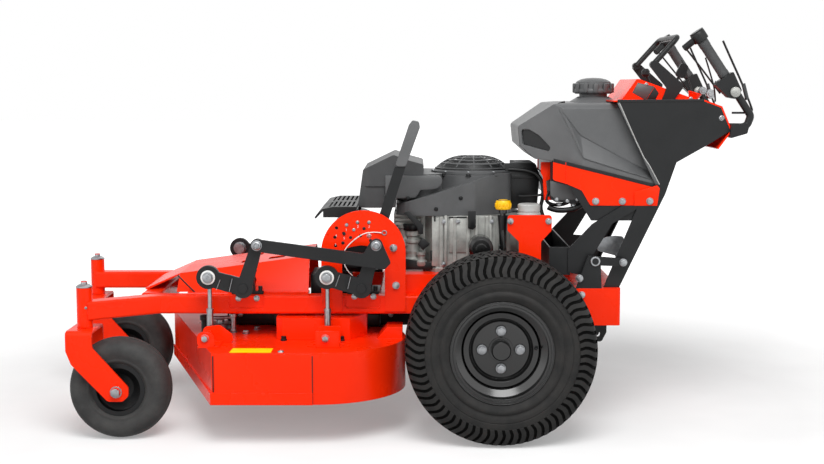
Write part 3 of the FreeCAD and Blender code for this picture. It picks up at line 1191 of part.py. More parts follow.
def deck_strip():
    """The skid strip round the front and left side, and the plate over the side wall."""
    low = deck_prism(-STRIP_THICK, DECK_BOTTOM,
                     DECK_BOTTOM + STRIP_HEIGHT).cut(deck_prism(1, DECK_BOTTOM - 1,
                                                                DECK_BOTTOM + STRIP_HEIGHT + 1))
    front = box(DECK_NOSE_X - 20, SPINDLE_LEFT_X, -DECK_HALF - 20, DECK_NOSE_Y, DECK_BOTTOM - 1,
                DECK_TOP + 1)
    side = box(DECK_CORNER_X + 8, SPINDLE_LEFT_X, -DECK_HALF - SIDE_PLATE_THICK, -DECK_HALF + 1,
               DECK_BOTTOM, DECK_TOP - 3)
    return fused([low.common(front), side])


def chamber_baffles():
    """Curved walls under the deck in front of each blade."""
    walls = []
    for (x, y), (first, last) in zip(SPINDLES, ((122, 262), (112, 236))):
        r = CHAMBER_RADIUS - DECK_WALL
        face = Part.Face(outline([V(r - BAFFLE_THICK, 0, SHELL_TOP - BAFFLE_HEIGHT),
                                  V(r, 0, SHELL_TOP - BAFFLE_HEIGHT), V(r, 0, SHELL_TOP + 1),
                                  V(r - BAFFLE_THICK, 0, SHELL_TOP + 1)], 0))
        wall = face.revolve(V(0, 0, 0), Z_AXIS, last - first)
        wall.rotate(V(0, 0, 0), Z_AXIS, first)
        wall.translate(V(x, y, 0))
        walls.append(wall)
    return walls


def chute_hinge():
    """The pin and its two ears, which stand on the deck's right side."""
    x0, x1 = CHUTE_FRONT_X - 8, CHUTE_REAR_X
    y, z = CHUTE_HINGE_Y, CHUTE_HINGE_Z
    ears = [box(x, x + 4, DECK_HALF - 6, y + 8, z - 8, z + 6) for x in (x0 - 5, x1 + 1)]
    return [rod((x0 - 5, y, z), (x1 + 5, y, z), CHUTE_HINGE_RADIUS)] + ears


def deck_shell():
    """The welded deck: top, walls, discharge mouth, skid strip, baffles and rear stiffener."""
    shell = deck_prism(0, DECK_BOTTOM, DECK_TOP).cut(deck_prism(DECK_WALL, DECK_BOTTOM - 1, SHELL_TOP))
    mouth = box(CHUTE_FRONT_X, CHUTE_REAR_X, DECK_HALF - 60, DECK_HALF + 10, DECK_BOTTOM - 1,
                DECK_TOP - 12)
    stiffener = plate_y(STIFFENER_SIDE, -268, -188)
    shell = fused([shell, deck_strip(), stiffener] + chamber_baffles()).cut(mouth)
    for x, y in SPINDLES:
        shell = shell.cut(disc_z(x, y, 40, DECK_TOP - 10, DECK_TOP + 1))
    return fused([shell] + chute_hinge())


def spindle_housings():
    """A cast housing on each blade shaft, flanged to the deck, with four webs."""
    out = []
    bore = SPINDLE_RADIUS + BEARING_CLEARANCE
    flange = SPINDLE_FLANGE_RADIUS
    for x, y in SPINDLES:
        body = turned_z([(bore, DECK_TOP - 70), (38, DECK_TOP - 70), (40, DECK_TOP), (flange, DECK_TOP),
                         (flange, DECK_TOP + 8), (34, DECK_TOP + 12), (30, DECK_TOP + 26),
                         (bore, DECK_TOP + 26)], x, y)
        web = plate_y([(-flange + 4, DECK_TOP + 7), (flange - 4, DECK_TOP + 7), (31, DECK_TOP + 24),
                       (-31, DECK_TOP + 24)], -3, 3)
        hole = disc_z(0, 0, bore, DECK_TOP - 1, DECK_TOP + 30)
        webs = []
        for angle in (45, 135):
            piece = web.cut(hole)
            piece.rotate(V(0, 0, 0), Z_AXIS, angle)
            piece.translate(V(x, y, 0))
            webs.append(piece)
        out.append(fused([body] + webs))
    return group(out)


def deck_hangers():
    """Brackets that take the rods' lower ends, each a base with two upright cheeks and a bolt."""
    out = []
    z, t = DECK_TOP, HANGER_PLATE
    inner, outer = HANGER_INNER_Y, HANGER_OUTER_Y
    for crank_x, near, far, soft in ((CRANK_FRONT_X, FRONT_NEAR_CHEEK, FRONT_FAR_CHEEK, 16),
                                     (CRANK_REAR_X, REAR_CHEEK, REAR_CHEEK, 4)):
        x = crank_x - EYE_REACH
        near_cheek = plate_y([(x + dx, z + dz) for dx, dz in near], outer - t, outer, soft)
        far_cheek = plate_y([(x + dx, z + dz) for dx, dz in far], inner, inner + t, soft)
        bolt = disc_y(x, z + HANGER_PIN_RISE, 7, inner, outer + 2)
        head = disc_y(x, z + HANGER_PIN_RISE, 10, outer, outer + 7)
        trim = box(x - 200, x + 200, inner - 10, outer + 10, z - 50, z)
        for side in (-1, 1):
            reach = REAR_FOOT_REACH if crank_x == CRANK_REAR_X and side > 0 else 20
            base = box(x - reach, x + 36, inner, outer, z, z + t)
            bracket = fused([base, bolt, head, near_cheek, far_cheek]).cut(trim)
            out.append(bracket if side > 0 else mirrored(bracket))
    return group(out)


def belt_covers():
    """Folded covers on the deck round each spindle's pulley, open towards the middle."""
    covers = []
    top = RAIL_BOTTOM - BELT_COVER_GAP
    sheet = COVER_SHEET
    front, rear, reach, cut = BELT_COVER_FRONT, BELT_COVER_REAR, BELT_COVER_REACH, BELT_COVER_CUT
    edge = PULLEY_RADIUS + 8
    plan = [(-front, edge - cut), (cut - front, edge), (rear - 44, edge), (rear, -20), (rear, -reach),
            (-front, -reach)]
    for (x, y), side in zip(SPINDLES, (-1, 1)):
        corners = [(x + dx, y + side * dy) for dx, dy in plan]
        shell = plate_z(corners, DECK_TOP, top, 5)
        inner = outline([V(px, py, DECK_TOP - 1) for px, py in corners], 0).makeOffset2D(-sheet)
        hollow = Part.Face(inner).extrude(V(0, 0, top - sheet - DECK_TOP + 1))
        ends = sorted((y - side * (reach + 1), y - side * (reach - sheet - 1)))
        window = box(x - front + sheet, x + rear - sheet, ends[0], ends[1], DECK_TOP - 1, top - sheet)
        covers.append(shell.cut(hollow).cut(window))
    return group(covers)


def blade(x, y, angle):
    """A cutting blade with raised wings, on its shaft with collar, nut and belt pulley."""
    half = BLADE_LENGTH / 2
    shaft = disc_z(x, y, SPINDLE_RADIUS, BLADE_Z - 12, DECK_TOP + 50)
    bar = plate_z([(-half, -BLADE_WIDTH / 2), (half, -BLADE_WIDTH / 2), (half, BLADE_WIDTH / 2),
                   (-half, BLADE_WIDTH / 2)], BLADE_Z, BLADE_Z + BLADE_THICK, 4)
    top = BLADE_Z + BLADE_THICK - 1
    wing = plate_x([(BLADE_WIDTH / 2, top), (BLADE_WIDTH / 2 - 4, top + BLADE_WING),
                    (BLADE_WIDTH / 2 - 8, top + BLADE_WING), (BLADE_WIDTH / 2 - 12, top)], half - 110,
                   half - 8)
    other = wing.copy()
    other.rotate(V(0, 0, 0), Z_AXIS, 180)
    bar = fused([bar, wing, other])
    bar.rotate(V(0, 0, 0), Z_AXIS, angle)
    bar.translate(V(x, y, 0))
    collar = disc_z(x, y, 24, BLADE_Z + BLADE_THICK, DECK_TOP - 70.5)
    nut = disc_z(x, y, 18, BLADE_Z - 16, BLADE_Z)
    low = DECK_TOP + 30
    high = low + PULLEY_WIDTH
    middle = (low + high) / 2
    pulley = turned_z([(0, low), (PULLEY_RADIUS, low), (PULLEY_RADIUS, low + 3),
                       (PULLEY_RADIUS - 8, middle), (PULLEY_RADIUS, high - 3), (PULLEY_RADIUS, high),
                       (0, high)], x, y)
    return fused([shaft, bar, collar, nut, pulley])


def chute_deflector():
    """The flap over the discharge opening, hinged along its upper edge."""
    x0, x1 = CHUTE_FRONT_X - 8, CHUTE_REAR_X
    y, z = CHUTE_HINGE_Y, CHUTE_HINGE_Z
    t = CHUTE_THICK
    side = [(y, z + 7), (y + 60, z + 4), (y + CHUTE_REACH, z - 58), (y + CHUTE_REACH - 2, z - 58 - t),
            (y + 59, z + 4 - t), (y, z + 7 - t)]
    flap = plate_x(side, x0, x1)
    web = [(y + 12, z + 3), (y + 60, z + 2), (y + CHUTE_REACH, z - 60), (y + CHUTE_REACH, z - 78),
           (y + 30, z - 40)]
    cheeks = [plate_x(web, x0, x0 + t, 4), plate_x(web, x1 - t, x1, 4)]
    barrel = rod((x0, y, z), (x1, y, z), CHUTE_HINGE_RADIUS + 3)
    return fused([flap, barrel] + cheeks).cut(rod((x0 - 1, y, z), (x1 + 1, y, z),
                                                  CHUTE_HINGE_RADIUS + BEARING_CLEARANCE))


# ---------------------------------------------------------------- assembly
parts["frame_rail_left"] = frame_rail_left()
parts["frame_rail_right"] = frame_rail_right()
parts["frame_crossmembers"] = crossmembers()
parts["lift_bearings"] = lift_bearings()
parts["rear_frame_box"] = rear_frame_box()
parts["rear_hitch"] = rear_hitch()
parts["engine_plate"] = engine_plate()
parts["front_cover"] = front_cover()
parts["height_dial"] = height_dial()
parts["engine_block"] = engine_block()
parts["engine_shroud"] = engine_shroud()
parts["fan_guard"] = fan_guard()
parts["air_cleaner"] = air_cleaner().cut(parts["engine_shroud"])
parts["muffler"] = muffler().cut(parts["engine_block"])
parts["oil_fittings"] = oil_fittings()
parts["oil_reservoir"] = oil_reservoir()
parts["drive_units"] = drive_units()
parts["wheel_motor_left"] = wheel_motor()
parts["wheel_motor_right"] = mirrored(wheel_motor())
parts["fuel_tank"] = fuel_tank()
parts["fuel_cap"] = fuel_cap()
parts["tank_skirt"] = tank_skirt()
parts["tower_left"] = group([tower_side(), brake_mount()])
parts["tower_right"] = mirrored(parts["tower_left"])
parts["tower_tray"] = tower_tray().cut(parts["fuel_tank"])
parts["rear_panel"] = rear_panel()
parts["reservoir_bracket"] = reservoir_bracket().cut(parts["tower_tray"])
parts["console_top"] = console_top().cut(parts["fuel_tank"])
parts["handle_left"] = handle(-HANDLE_Y).cut(parts["console_top"]).cut(parts["tower_left"])
parts["handle_right"] = mirrored(parts["handle_left"])
parts["control_levers"] = control_levers().cut(parts["console_top"])
parts["drive_tyre_left"] = drive_tyre()
parts["drive_tyre_right"] = mirrored(drive_tyre())
parts["drive_rim_left"] = drive_rim()
parts["drive_rim_right"] = mirrored(drive_rim())
for name, x, y in (("left", CASTER_LEFT_X, CASTER_LEFT_Y), ("right", CASTER_RIGHT_X, RAIL_CENTRE)):
    parts["caster_fork_" + name] = caster_fork(x, y)
    parts["caster_tyre_" + name] = caster_tyre(x, y)
    parts["caster_rim_" + name] = caster_rim(x, y)
parts["lift_shaft_front"] = lift_shaft(CRANK_FRONT_X)
parts["lift_shaft_rear"] = lift_shaft_rear()
parts["lever_grip"] = lever_grip()
parts["link_bar"] = link_bar()
for name, x in (("front", CRANK_FRONT_X), ("rear", CRANK_REAR_X)):
    parts["rod_" + name + "_left"] = hanger_rod(x)
    parts["rod_" + name + "_right"] = mirrored(hanger_rod(x))
parts["deck_shell"] = deck_shell()
parts["spindle_housings"] = spindle_housings()
parts["deck_hangers"] = deck_hangers()
parts["belt_cover"] = belt_covers()
parts["blade_left"] = blade(SPINDLE_LEFT_X, -SPINDLE_HALF_Y, 35)
parts["blade_right"] = blade(SPINDLE_RIGHT_X, SPINDLE_HALF_Y, -50)
parts["chute_deflector"] = chute_deflector()

os.makedirs("parts", exist_ok=True)
whole = group(list(parts.values())).BoundBox
to_origin = V(-whole.Center.x, -whole.Center.y, 0)
for name, shape in parts.items():
    shape.translate(to_origin)
    shape.exportStep("parts/" + name + ".step")
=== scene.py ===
import math
import bpy
from mathutils import Matrix, Vector
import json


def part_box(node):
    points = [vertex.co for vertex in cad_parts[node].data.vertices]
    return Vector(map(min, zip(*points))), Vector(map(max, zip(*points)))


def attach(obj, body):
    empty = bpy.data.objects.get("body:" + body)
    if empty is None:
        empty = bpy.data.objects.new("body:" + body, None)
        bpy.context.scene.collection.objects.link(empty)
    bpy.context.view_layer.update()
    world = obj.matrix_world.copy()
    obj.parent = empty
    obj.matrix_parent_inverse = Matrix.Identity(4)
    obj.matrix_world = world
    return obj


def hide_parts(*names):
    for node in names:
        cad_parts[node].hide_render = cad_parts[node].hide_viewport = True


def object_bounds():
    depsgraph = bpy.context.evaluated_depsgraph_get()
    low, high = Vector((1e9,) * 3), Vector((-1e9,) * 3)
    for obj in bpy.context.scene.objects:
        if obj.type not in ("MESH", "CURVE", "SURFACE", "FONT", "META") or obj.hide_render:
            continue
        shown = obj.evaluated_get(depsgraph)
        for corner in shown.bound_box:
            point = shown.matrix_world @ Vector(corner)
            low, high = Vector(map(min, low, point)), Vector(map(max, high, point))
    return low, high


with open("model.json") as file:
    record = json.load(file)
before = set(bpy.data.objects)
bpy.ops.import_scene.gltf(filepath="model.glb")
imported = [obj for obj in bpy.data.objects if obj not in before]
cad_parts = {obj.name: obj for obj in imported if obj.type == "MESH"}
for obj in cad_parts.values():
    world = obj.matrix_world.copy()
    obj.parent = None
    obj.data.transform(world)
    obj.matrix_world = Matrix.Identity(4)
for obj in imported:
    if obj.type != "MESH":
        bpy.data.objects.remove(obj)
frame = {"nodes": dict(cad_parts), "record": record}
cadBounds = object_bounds()
nodes = frame["nodes"]
mm = 0.001
left = Vector((0, -1, 0))
right = Vector((0, 1, 0))
up = Vector((0, 0, 1))
sides = (("left", -1, left), ("right", 1, right))


# places: everything is set out from the middle of the drive axle, at floor level

def middleOf(node):
    low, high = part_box(node)
    return (low + high) / 2


leftWheel = middleOf("drive_tyre_left")
axle = Vector((leftWheel.x, (leftWheel.y + middleOf("drive_tyre_right").y) / 2, 0))


def at(x, y, z):
    # a place given in millimetres from the drive axle, centre plane and floor
    return axle + Vector((x, y, z)) * mm


# materials

def linear(code):
    # sRGB hex to the linear colour that the shaders take
    parts = [int(code[i:i + 2], 16) / 255 for i in (1, 3, 5)]
    out = [c / 12.92 if c <= 0.04045 else ((c + 0.055) / 1.055) ** 2.4 for c in parts]
    return (*out, 1)


def grey(value):
    return (value, value, value, 1)


def node(tree, kind, settings=None, links=None):
    # adds one shader node: settings are properties, socket values or a ramp's stops,
    # and links go from (node, output) to a socket
    made = tree.nodes.new("ShaderNode" + kind)
    for key, value in (settings or {}).items():
        if key == "stops":
            for stop, (position, colour) in zip(made.color_ramp.elements, value):
                stop.position = position
                stop.color = colour
        elif isinstance(key, str) and hasattr(made, key):
            setattr(made, key, value)
        else:
            made.inputs[key].default_value = value
    for key, (source, output) in (links or {}).items():
        tree.links.new(source.outputs[output], made.inputs[key])
    return made


def newMaterial(name):
    material = bpy.data.materials.new(name)
    material.use_nodes = True
    tree = material.node_tree
    tree.nodes.clear()
    return material, tree


def surface(name, look, cloud, grain, shine):
    # colour and dullness drift in clouds, a fine grain stands in relief, and edges look rounded;
    # cloud is the noise's settings, grain is (texture, settings, output, relief), shine the shader's
    material, tree = newMaterial(name)
    texture, settings, output, relief = grain
    place = node(tree, "TexCoord")
    clouds = node(tree, "TexNoise", {"Scale": 1000 / look["cloudMm"], **cloud}, {"Vector": (place, "Object")})
    fine = node(tree, texture, {"Scale": 1000 / look["grainMm"], **settings}, {"Vector": (place, "Object")})
    tint = node(tree, "ValToRGB", {"stops": [(0.35, linear(look["patch"])), (0.65, linear(look["colour"]))]},
                {"Fac": (clouds, "Fac")})
    dull = node(tree, "ValToRGB", {"stops": list(zip((0.3, 0.7), map(grey, look["rough"])))},
                {"Fac": (clouds, "Fac")})
    edge = node(tree, "Bevel", {"samples": 4, "Radius": look["edgeMm"] * mm})
    bump = node(tree, "Bump", {"Strength": look["bump"], "Distance": relief * mm},
                {"Height": (fine, output), "Normal": (edge, "Normal")})
    shader = node(tree, "BsdfPrincipled", shine,
                  {"Base Color": (tint, "Color"), "Roughness": (dull, "Color"), "Normal": (bump, "Normal")})
    node(tree, "OutputMaterial", links={"Surface": (shader, "BSDF")})
    return material


def powderCoat(name, look):
    # baked polyester powder on steel: one even colour with a soft sheen over faint orange peel,
    # a little duller in patches, and its folded edges catch the light where the powder thins
    return surface(name, look, {"Detail": 4.0, "Roughness": 0.6},
                   ("TexNoise", {"Detail": 2.0, "Roughness": 0.5}, "Fac", 0.4),
                   {"IOR": 1.5, "Specular IOR Level": look["shine"]})


def mouldedPlastic(name, look):
    # moulded plastic or rubber: fine pebble grain that scatters the light into a soft sheen
    return surface(name, look, {"Detail": 5.0, "Roughness": 0.6}, ("TexVoronoi", {}, "Distance", 0.5),
                   {"IOR": 1.5, "Specular IOR Level": look["shine"]})


def bareMetal(name, look):
    # zinc plate or cast metal: grey with cloudy crystals and fine scratches, so its shine breaks up
    crystals = ("TexNoise", {"Detail": 3.0, "Roughness": 0.7}, "Fac", 0.5)
    return surface(name, look, {"Detail": 6.0, "Roughness": 0.65}, crystals, {"Metallic": look["metallic"]})


# rough is the roughness in the darker patches, then in the rest
redCoat = powderCoat("redPowderCoat", {
    "colour": "#FB2E04", "patch": "#F52A03", "grainMm": 2.4, "cloudMm": 160, "edgeMm": 1.6,
    "rough": (0.32, 0.24), "bump": 0.06, "shine": 0.14})
blackCoat = powderCoat("blackPowderCoat", {
    "colour": "#1D1E1F", "patch": "#171819", "grainMm": 1.8, "cloudMm": 90, "edgeMm": 1.2,
    "rough": (0.46, 0.34), "bump": 0.12, "shine": 0.24})
castBlack = powderCoat("blackPaintedCasting", {
    "colour": "#1A1B1C", "patch": "#131415", "grainMm": 3.0, "cloudMm": 50, "edgeMm": 2.0,
    "rough": (0.55, 0.4), "bump": 0.3, "shine": 0.3})
glossBlack = powderCoat("glossBlackEnamel", {
    "colour": "#0B0C0C", "patch": "#080808", "grainMm": 4.0, "cloudMm": 60, "edgeMm": 1.5,
    "rough": (0.26, 0.2), "bump": 0.04, "shine": 0.62})
tankPlastic = mouldedPlastic("greyRotomouldedTank", {
    "colour": "#5E5F60", "patch": "#545556", "grainMm": 1.6, "cloudMm": 120, "edgeMm": 4.0,
    "rough": (0.42, 0.52), "bump": 0.12, "shine": 0.4})
enginePlastic = mouldedPlastic("greyGlassFilledNylon", {
    "colour": "#525354", "patch": "#48494A", "grainMm": 1.3, "cloudMm": 80, "edgeMm": 3.0,
    "rough": (0.42, 0.52), "bump": 0.15, "shine": 0.4})
cleanerPlastic = mouldedPlastic("darkGreyFilledNylon", {
    "colour": "#444546", "patch": "#3B3C3D", "grainMm": 1.3, "cloudMm": 80, "edgeMm": 3.0,
    "rough": (0.42, 0.52), "bump": 0.15, "shine": 0.35})
blackPlastic = mouldedPlastic("blackMouldedNylon", {
    "colour": "#141516", "patch": "#0F1011", "grainMm": 1.0, "cloudMm": 40, "edgeMm": 1.2,
    "rough": (0.32, 0.42), "bump": 0.08, "shine": 0.3})
tyreRubber = mouldedPlastic("tyreRubber", {
    "colour": "#262626", "patch": "#2E2D2C", "grainMm": 2.2, "cloudMm": 45, "edgeMm": 1.2,
    "rough": (0.6, 0.74), "bump": 0.18, "shine": 0.16})
# groove floors: the tyre's rubber painted darker, standing in for the shade that falls between the lugs
paintedGrooveShade = mouldedPlastic("paintedGrooveShade", {
    "colour": "#0C0C0C", "patch": "#121211", "grainMm": 2.2, "cloudMm": 45, "edgeMm": 1.2,
    "rough": (0.7, 0.8), "bump": 0.18, "shine": 0.05})
casterRubber = mouldedPlastic("casterRubber", {
    "colour": "#363636", "patch": "#434342", "grainMm": 2.0, "cloudMm": 50, "edgeMm": 1.2,
    "rough": (0.6, 0.74), "bump": 0.16, "shine": 0.2})
gripRubber = mouldedPlastic("gripRubber", {
    "colour": "#48494A", "patch": "#3E3F40", "grainMm": 1.5, "cloudMm": 30, "edgeMm": 1.5,
    "rough": (0.55, 0.65), "bump": 0.2, "shine": 0.25})
# pale plastic of the reservoir cap and gauge lens, also used as the painted highlight bead along the tank's
# edge
paleCapAndHighlight = mouldedPlastic("palePolyethyleneAndPaintedHighlight", {
    "colour": "#B2B2B0", "patch": "#A4A4A1", "grainMm": 1.4, "cloudMm": 40, "edgeMm": 2.0,
    "rough": (0.34, 0.44), "bump": 0.08, "shine": 0.5})
labelYellow = mouldedPlastic("yellowVinylLabel", {
    "colour": "#FFE000", "patch": "#F8D800", "grainMm": 1.2, "cloudMm": 20, "edgeMm": 0.4,
    "rough": (0.3, 0.4), "bump": 0.02, "shine": 0.2})
yellowPlastic = mouldedPlastic("yellowMouldedNylon", {
    "colour": "#FFC400", "patch": "#F5B800", "grainMm": 1.2, "cloudMm": 20, "edgeMm": 1.0,
    "rough": (0.3, 0.4), "bump": 0.06, "shine": 0.4})
whitePlastic = mouldedPlastic("whiteAcetal", {
    "colour": "#EDEDEB", "patch": "#E0E0DD", "grainMm": 1.2, "cloudMm": 20, "edgeMm": 1.0,
    "rough": (0.3, 0.4), "bump": 0.05, "shine": 0.4})
zincSteel = bareMetal("zincPlatedSteel", {
    "colour": "#A2A4A6", "patch": "#86888B", "grainMm": 0.9, "cloudMm": 14, "edgeMm": 0.6,
    "rough": (0.26, 0.4), "bump": 0.08, "metallic": 1.0})
castAlloy = bareMetal("castAluminium", {
    "colour": "#A6A7A3", "patch": "#8C8D89", "grainMm": 1.4, "cloudMm": 30, "edgeMm": 2.0,
    "rough": (0.42, 0.56), "bump": 0.3, "metallic": 0.55})

# the record's slots: the first finish in each dresses the slot's nodes, and the other finishes are listed
# under the slot they belong to
slots = {"red_paint": [redCoat], "black_paint": [blackCoat, glossBlack], "cast_motor": [castBlack],
         "zinc_steel": [zincSteel], "bare_aluminium": [castAlloy],
         "tyre_rubber": [tyreRubber, paintedGrooveShade, casterRubber],
         "grey_plastic": [tankPlastic, paleCapAndHighlight, labelYellow, yellowPlastic, whitePlastic],
         "dark_plastic": [enginePlastic, cleanerPlastic, blackPlastic, gripRubber]}
nodeFinish = {row["node"]: slots[row["material_slot"]][0] for row in frame["record"]["subparts"]}
nodeFinish["air_cleaner"] = cleanerPlastic
nodeFinish.update(dict.fromkeys(("drive_rim_left", "drive_rim_right", "oil_fittings"), glossBlack))


def dress(mesh, material):
    mesh.materials.clear()
    mesh.materials.append(material)


for name in nodes:
    dress(nodes[name].data, nodeFinish[name])
print("materials on the frame's nodes")


# modelling helpers

def only(piece):
    bpy.ops.object.select_all(action="DESELECT")
    piece.select_set(True)
    bpy.context.view_layer.objects.active = piece


def added(name, data):
    piece = bpy.data.objects.new(name, data)
    bpy.context.scene.collection.objects.link(piece)
    return piece


def finished(piece, name, material, body, smooth=35):
    # puts the piece's place into its mesh, dresses it and lets it ride on a body
    only(piece)
    bpy.ops.object.transform_apply(location=True, rotation=True, scale=True)
    bpy.ops.object.shade_smooth_by_angle(angle=math.radians(smooth))
    piece.name = name
    dress(piece.data, material)
    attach(piece, body)
    return piece


def drawn(points):
    # a chain of edges through the points, drawn by extruding one vertex, left in edit mode
    bpy.ops.object.select_all(action="DESELECT")
    bpy.ops.mesh.primitive_plane_add(size=0.01, location=(0, 0, 0))
    piece = bpy.context.object
    bpy.ops.object.mode_set(mode="EDIT")
    bpy.ops.mesh.select_mode(type="VERT")
    bpy.ops.mesh.select_all(action="SELECT")
    bpy.ops.mesh.merge(type="CENTER")
    bpy.ops.transform.translate(value=points[0])
    for before, after in zip(points, points[1:]):
        bpy.ops.mesh.extrude_region_move(TRANSFORM_OT_translate={"value": after - before})
    bpy.ops.mesh.select_all(action="SELECT")
    return piece


def spun(profile, centre, axis, steps):
    # turns a profile of (radius, distance along the axis, turn in degrees) about the axis
    side = axis.orthogonal().normalized()
    points = []
    for radius, along, *turn in profile:
        arm = side.copy()
        arm.rotate(Matrix.Rotation(math.radians(turn[0]) if turn else 0, 3, axis))
        points.append(centre + (arm * radius + axis * along) * mm)
    piece = drawn(points)
    bpy.ops.mesh.spin(steps=steps, angle=math.tau, center=centre, axis=axis)
    bpy.ops.mesh.select_all(action="SELECT")
    bpy.ops.mesh.remove_doubles(threshold=0.00002)
    bpy.ops.mesh.normals_make_consistent(inside=False)
    bpy.ops.object.mode_set(mode="OBJECT")
    return piece


def turned(name, profile, place, axis, steps, material, body="chassis", smooth=35):
    return finished(spun(profile, at(*place), axis, steps), name, material, body, smooth)


def ring(name, place, inner, outer, thick, axis, material, body="chassis"):
    # a washer or bush with its edges broken, standing out from its place along the axis
    edge = min(0.8, thick / 3)
    profile = [(inner, 0), (inner, thick - edge), (inner + edge, thick), (outer - edge, thick),
               (outer, thick - edge), (outer, 0), (inner, 0)]
    turned(name, profile, place, axis, 40, material, body, 30)


def slab(points, rise, bevel=0):
    # a flat face through the points, thickened by the rise, with its edges rounded
    piece = drawn(points)
    bpy.ops.mesh.edge_face_add()
    bpy.ops.mesh.select_all(action="SELECT")
    bpy.ops.mesh.extrude_region_move(TRANSFORM_OT_translate={"value": rise})
    bpy.ops.mesh.select_all(action="SELECT")
    bpy.ops.mesh.normals_make_consistent(inside=False)
    if bevel:
        bpy.ops.mesh.bevel(offset=bevel * mm, segments=2, affect="EDGES")
    bpy.ops.object.mode_set(mode="OBJECT")
    return piece


def plate(name, outline, y, thick, material, bevel=0.8, body="chassis"):
    # a flat plate of a side outline, standing out from y to the left, or to the right if thick is negative
    piece = slab([at(x, y, z) for x, z in outline], left * thick * mm, bevel)
    return finished(piece, name, material, body, 30)


def strip(name, x, z, y, thick, material, bevel, body="chassis"):
    # a plate between two lengths and two heights
    plate(name, [(x[0], z[1]), (x[1], z[1]), (x[1], z[0]), (x[0], z[0])], y, thick, material, bevel, body)


def bevelled(offset, segments):
    bpy.ops.object.mode_set(mode="EDIT")
    bpy.ops.mesh.select_all(action="SELECT")
    bpy.ops.mesh.bevel(offset=offset, segments=segments, affect="EDGES")
    bpy.ops.object.mode_set(mode="OBJECT")
    return bpy.context.object


def block(low, high, bevel, segments=2):
    # a block between two corners with its edges rounded
    bpy.ops.object.select_all(action="DESELECT")
    bpy.ops.mesh.primitive_cube_add(size=1, location=(low + high) / 2)
    bpy.context.object.scale = high - low
    bpy.ops.object.transform_apply(location=True, rotation=True, scale=True)
    return bevelled(bevel * mm, segments)


def hose(name, route, radius, material, body="chassis", order=3):
    # a round hose or cable along a smooth line that follows the route's points
    path = bpy.data.curves.new(name, "CURVE")
    path.dimensions = "3D"
    path.bevel_depth = radius * mm
    path.bevel_resolution = 3
    path.use_fill_caps = True
    path.resolution_u = 8
    spline = path.splines.new("NURBS")
    spline.points.add(len(route) - 1)
    for point, place in zip(spline.points, route):
        point.co = (*at(*place), 1)
    spline.order_u = order
    spline.use_endpoint_u = True
    only(added(name, path))
    bpy.ops.object.convert(target="MESH")
    return finished(bpy.context.object, name, material, body, 60)


def wire(name, route, radius, material, body="chassis"):
    # a round rod or bead that goes straight from point to point
    return hose(name, route, radius, material, body, 2)


def joined(pieces):
    only(pieces[0])
    for piece in pieces:
        piece.select_set(True)
    bpy.ops.object.join()
    return bpy.context.object


def copied(master, placings):
    # copies a piece once for each placing matrix and joins the copies
    copies = []
    for placing in placings:
        twin = added(master.name, master.data.copy())
        twin.data.transform(placing)
        copies.append(twin)
    return joined(copies)


def around(name, piece, count, place, material):
    # repeats a piece evenly round an upright axis
    shift = Matrix.Translation(at(*place))
    turns = [Matrix.Rotation(math.tau * i / count, 4, up) for i in range(count)]
    finished(copied(piece, [shift @ turn @ shift.inverted() for turn in turns]), name, material, "chassis")
    bpy.data.objects.remove(piece)


# bolts: a flanged hexagon head and a low domed head, one unit across the flange, standing on the origin

def hexHead():
    bpy.ops.object.select_all(action="DESELECT")
    bpy.ops.mesh.primitive_cylinder_add(vertices=20, radius=0.5, depth=0.1, location=(0, 0, 0.03))
    flange = bevelled(0.03, 1)
    bpy.ops.object.select_all(action="DESELECT")
    bpy.ops.mesh.primitive_cylinder_add(vertices=6, radius=0.42, depth=0.36, location=(0, 0, 0.25))
    bolt = joined([bevelled(0.05, 2), flange])
    bpy.ops.object.transform_apply(location=True, rotation=True, scale=True)
    bpy.ops.object.shade_smooth_by_angle(angle=math.radians(30))
    return bolt


def domeHead():
    return spun([(0, 170), (190, 170), (215, 90), (285, 90), (315, 190), (400, 160), (465, 100), (500, 30),
                 (500, -30), (0, -30)], Vector((0, 0, 0)), up, 20)


hexBolt = hexHead()
domeBolt = domeHead()


def bolts(name, kind, places, direction, size, body="chassis", material=zincSteel):
    # a set of like bolts, size in millimetres across the flange
    turn = up.rotation_difference(direction).to_matrix().to_4x4() @ Matrix.Scale(size * mm, 4)
    placings = [Matrix.Translation(at(*place)) @ turn for place in places]
    return finished(copied(kind, placings), name, material, body, 30)


# tyres

turfTyre = {"lugs": 66, "columns": 5, "lugHeight": 4.5, "land": 3,
            # (radius, out from the wheel's middle, turn) from the bead to the middle of the crown
            "side": [(130, 84, 0), (139, 88, 0), (144, 93.5, 0), (149, 95, 0), (152, 97.8, 0), (157, 98.6, 0),
                     (162, 97.8, 0), (165, 94.6, 0), (169, 94.6, 0), (172, 96.8, 0), (179, 97.6, 0),
                     (185.5, 97.6, 0), (186.5, 96.4, 0), (188.5, 96.4, 0), (189.5, 97.4, 0), (199, 97, 0),
                     (204, 96.8, 0.2),
                     (208, 96.2, 0.5), (217, 94.4, 1.0), (226, 91.8, 0.5), (234, 88, -0.6), (240.5, 83, -1.6),
                     (245, 77, -2.0), (248, 70, -2.2), (250, 62, -2.2)],
            "crown": [(250.3, 59, -1.0), (251.5, 38, 0.6), (251.7, 35, 0.4), (252.3, 14, -1.0),
                      (252.4, 11, -0.8)],
            # lugs start at a radius, shoulder lugs end at a width, and grooves part the crown's rows
            "from": 203, "shoulder": 61, "grooves": [(59, 62), (35, 38), (11, 14)], "shift": 2}
casterTyre = {"side": [(62, 36), (70, 38.5), (75, 41), (78, 44.5), (81, 45.5), (84, 45), (87, 45.6),
                       (94, 48.4), (103, 50.4), (111, 50.2), (119, 47.2), (126, 41.5), (131.5, 33.5),
                       (135, 24), (137.4, 12)],
              "ribs": [(138, 9.6), (136.6, 8.6), (136.6, 6.8), (138.8, 5.8)]}


def bothWays(half):
    return half + [(radius, -out, -turn) for radius, out, turn in reversed(half)]


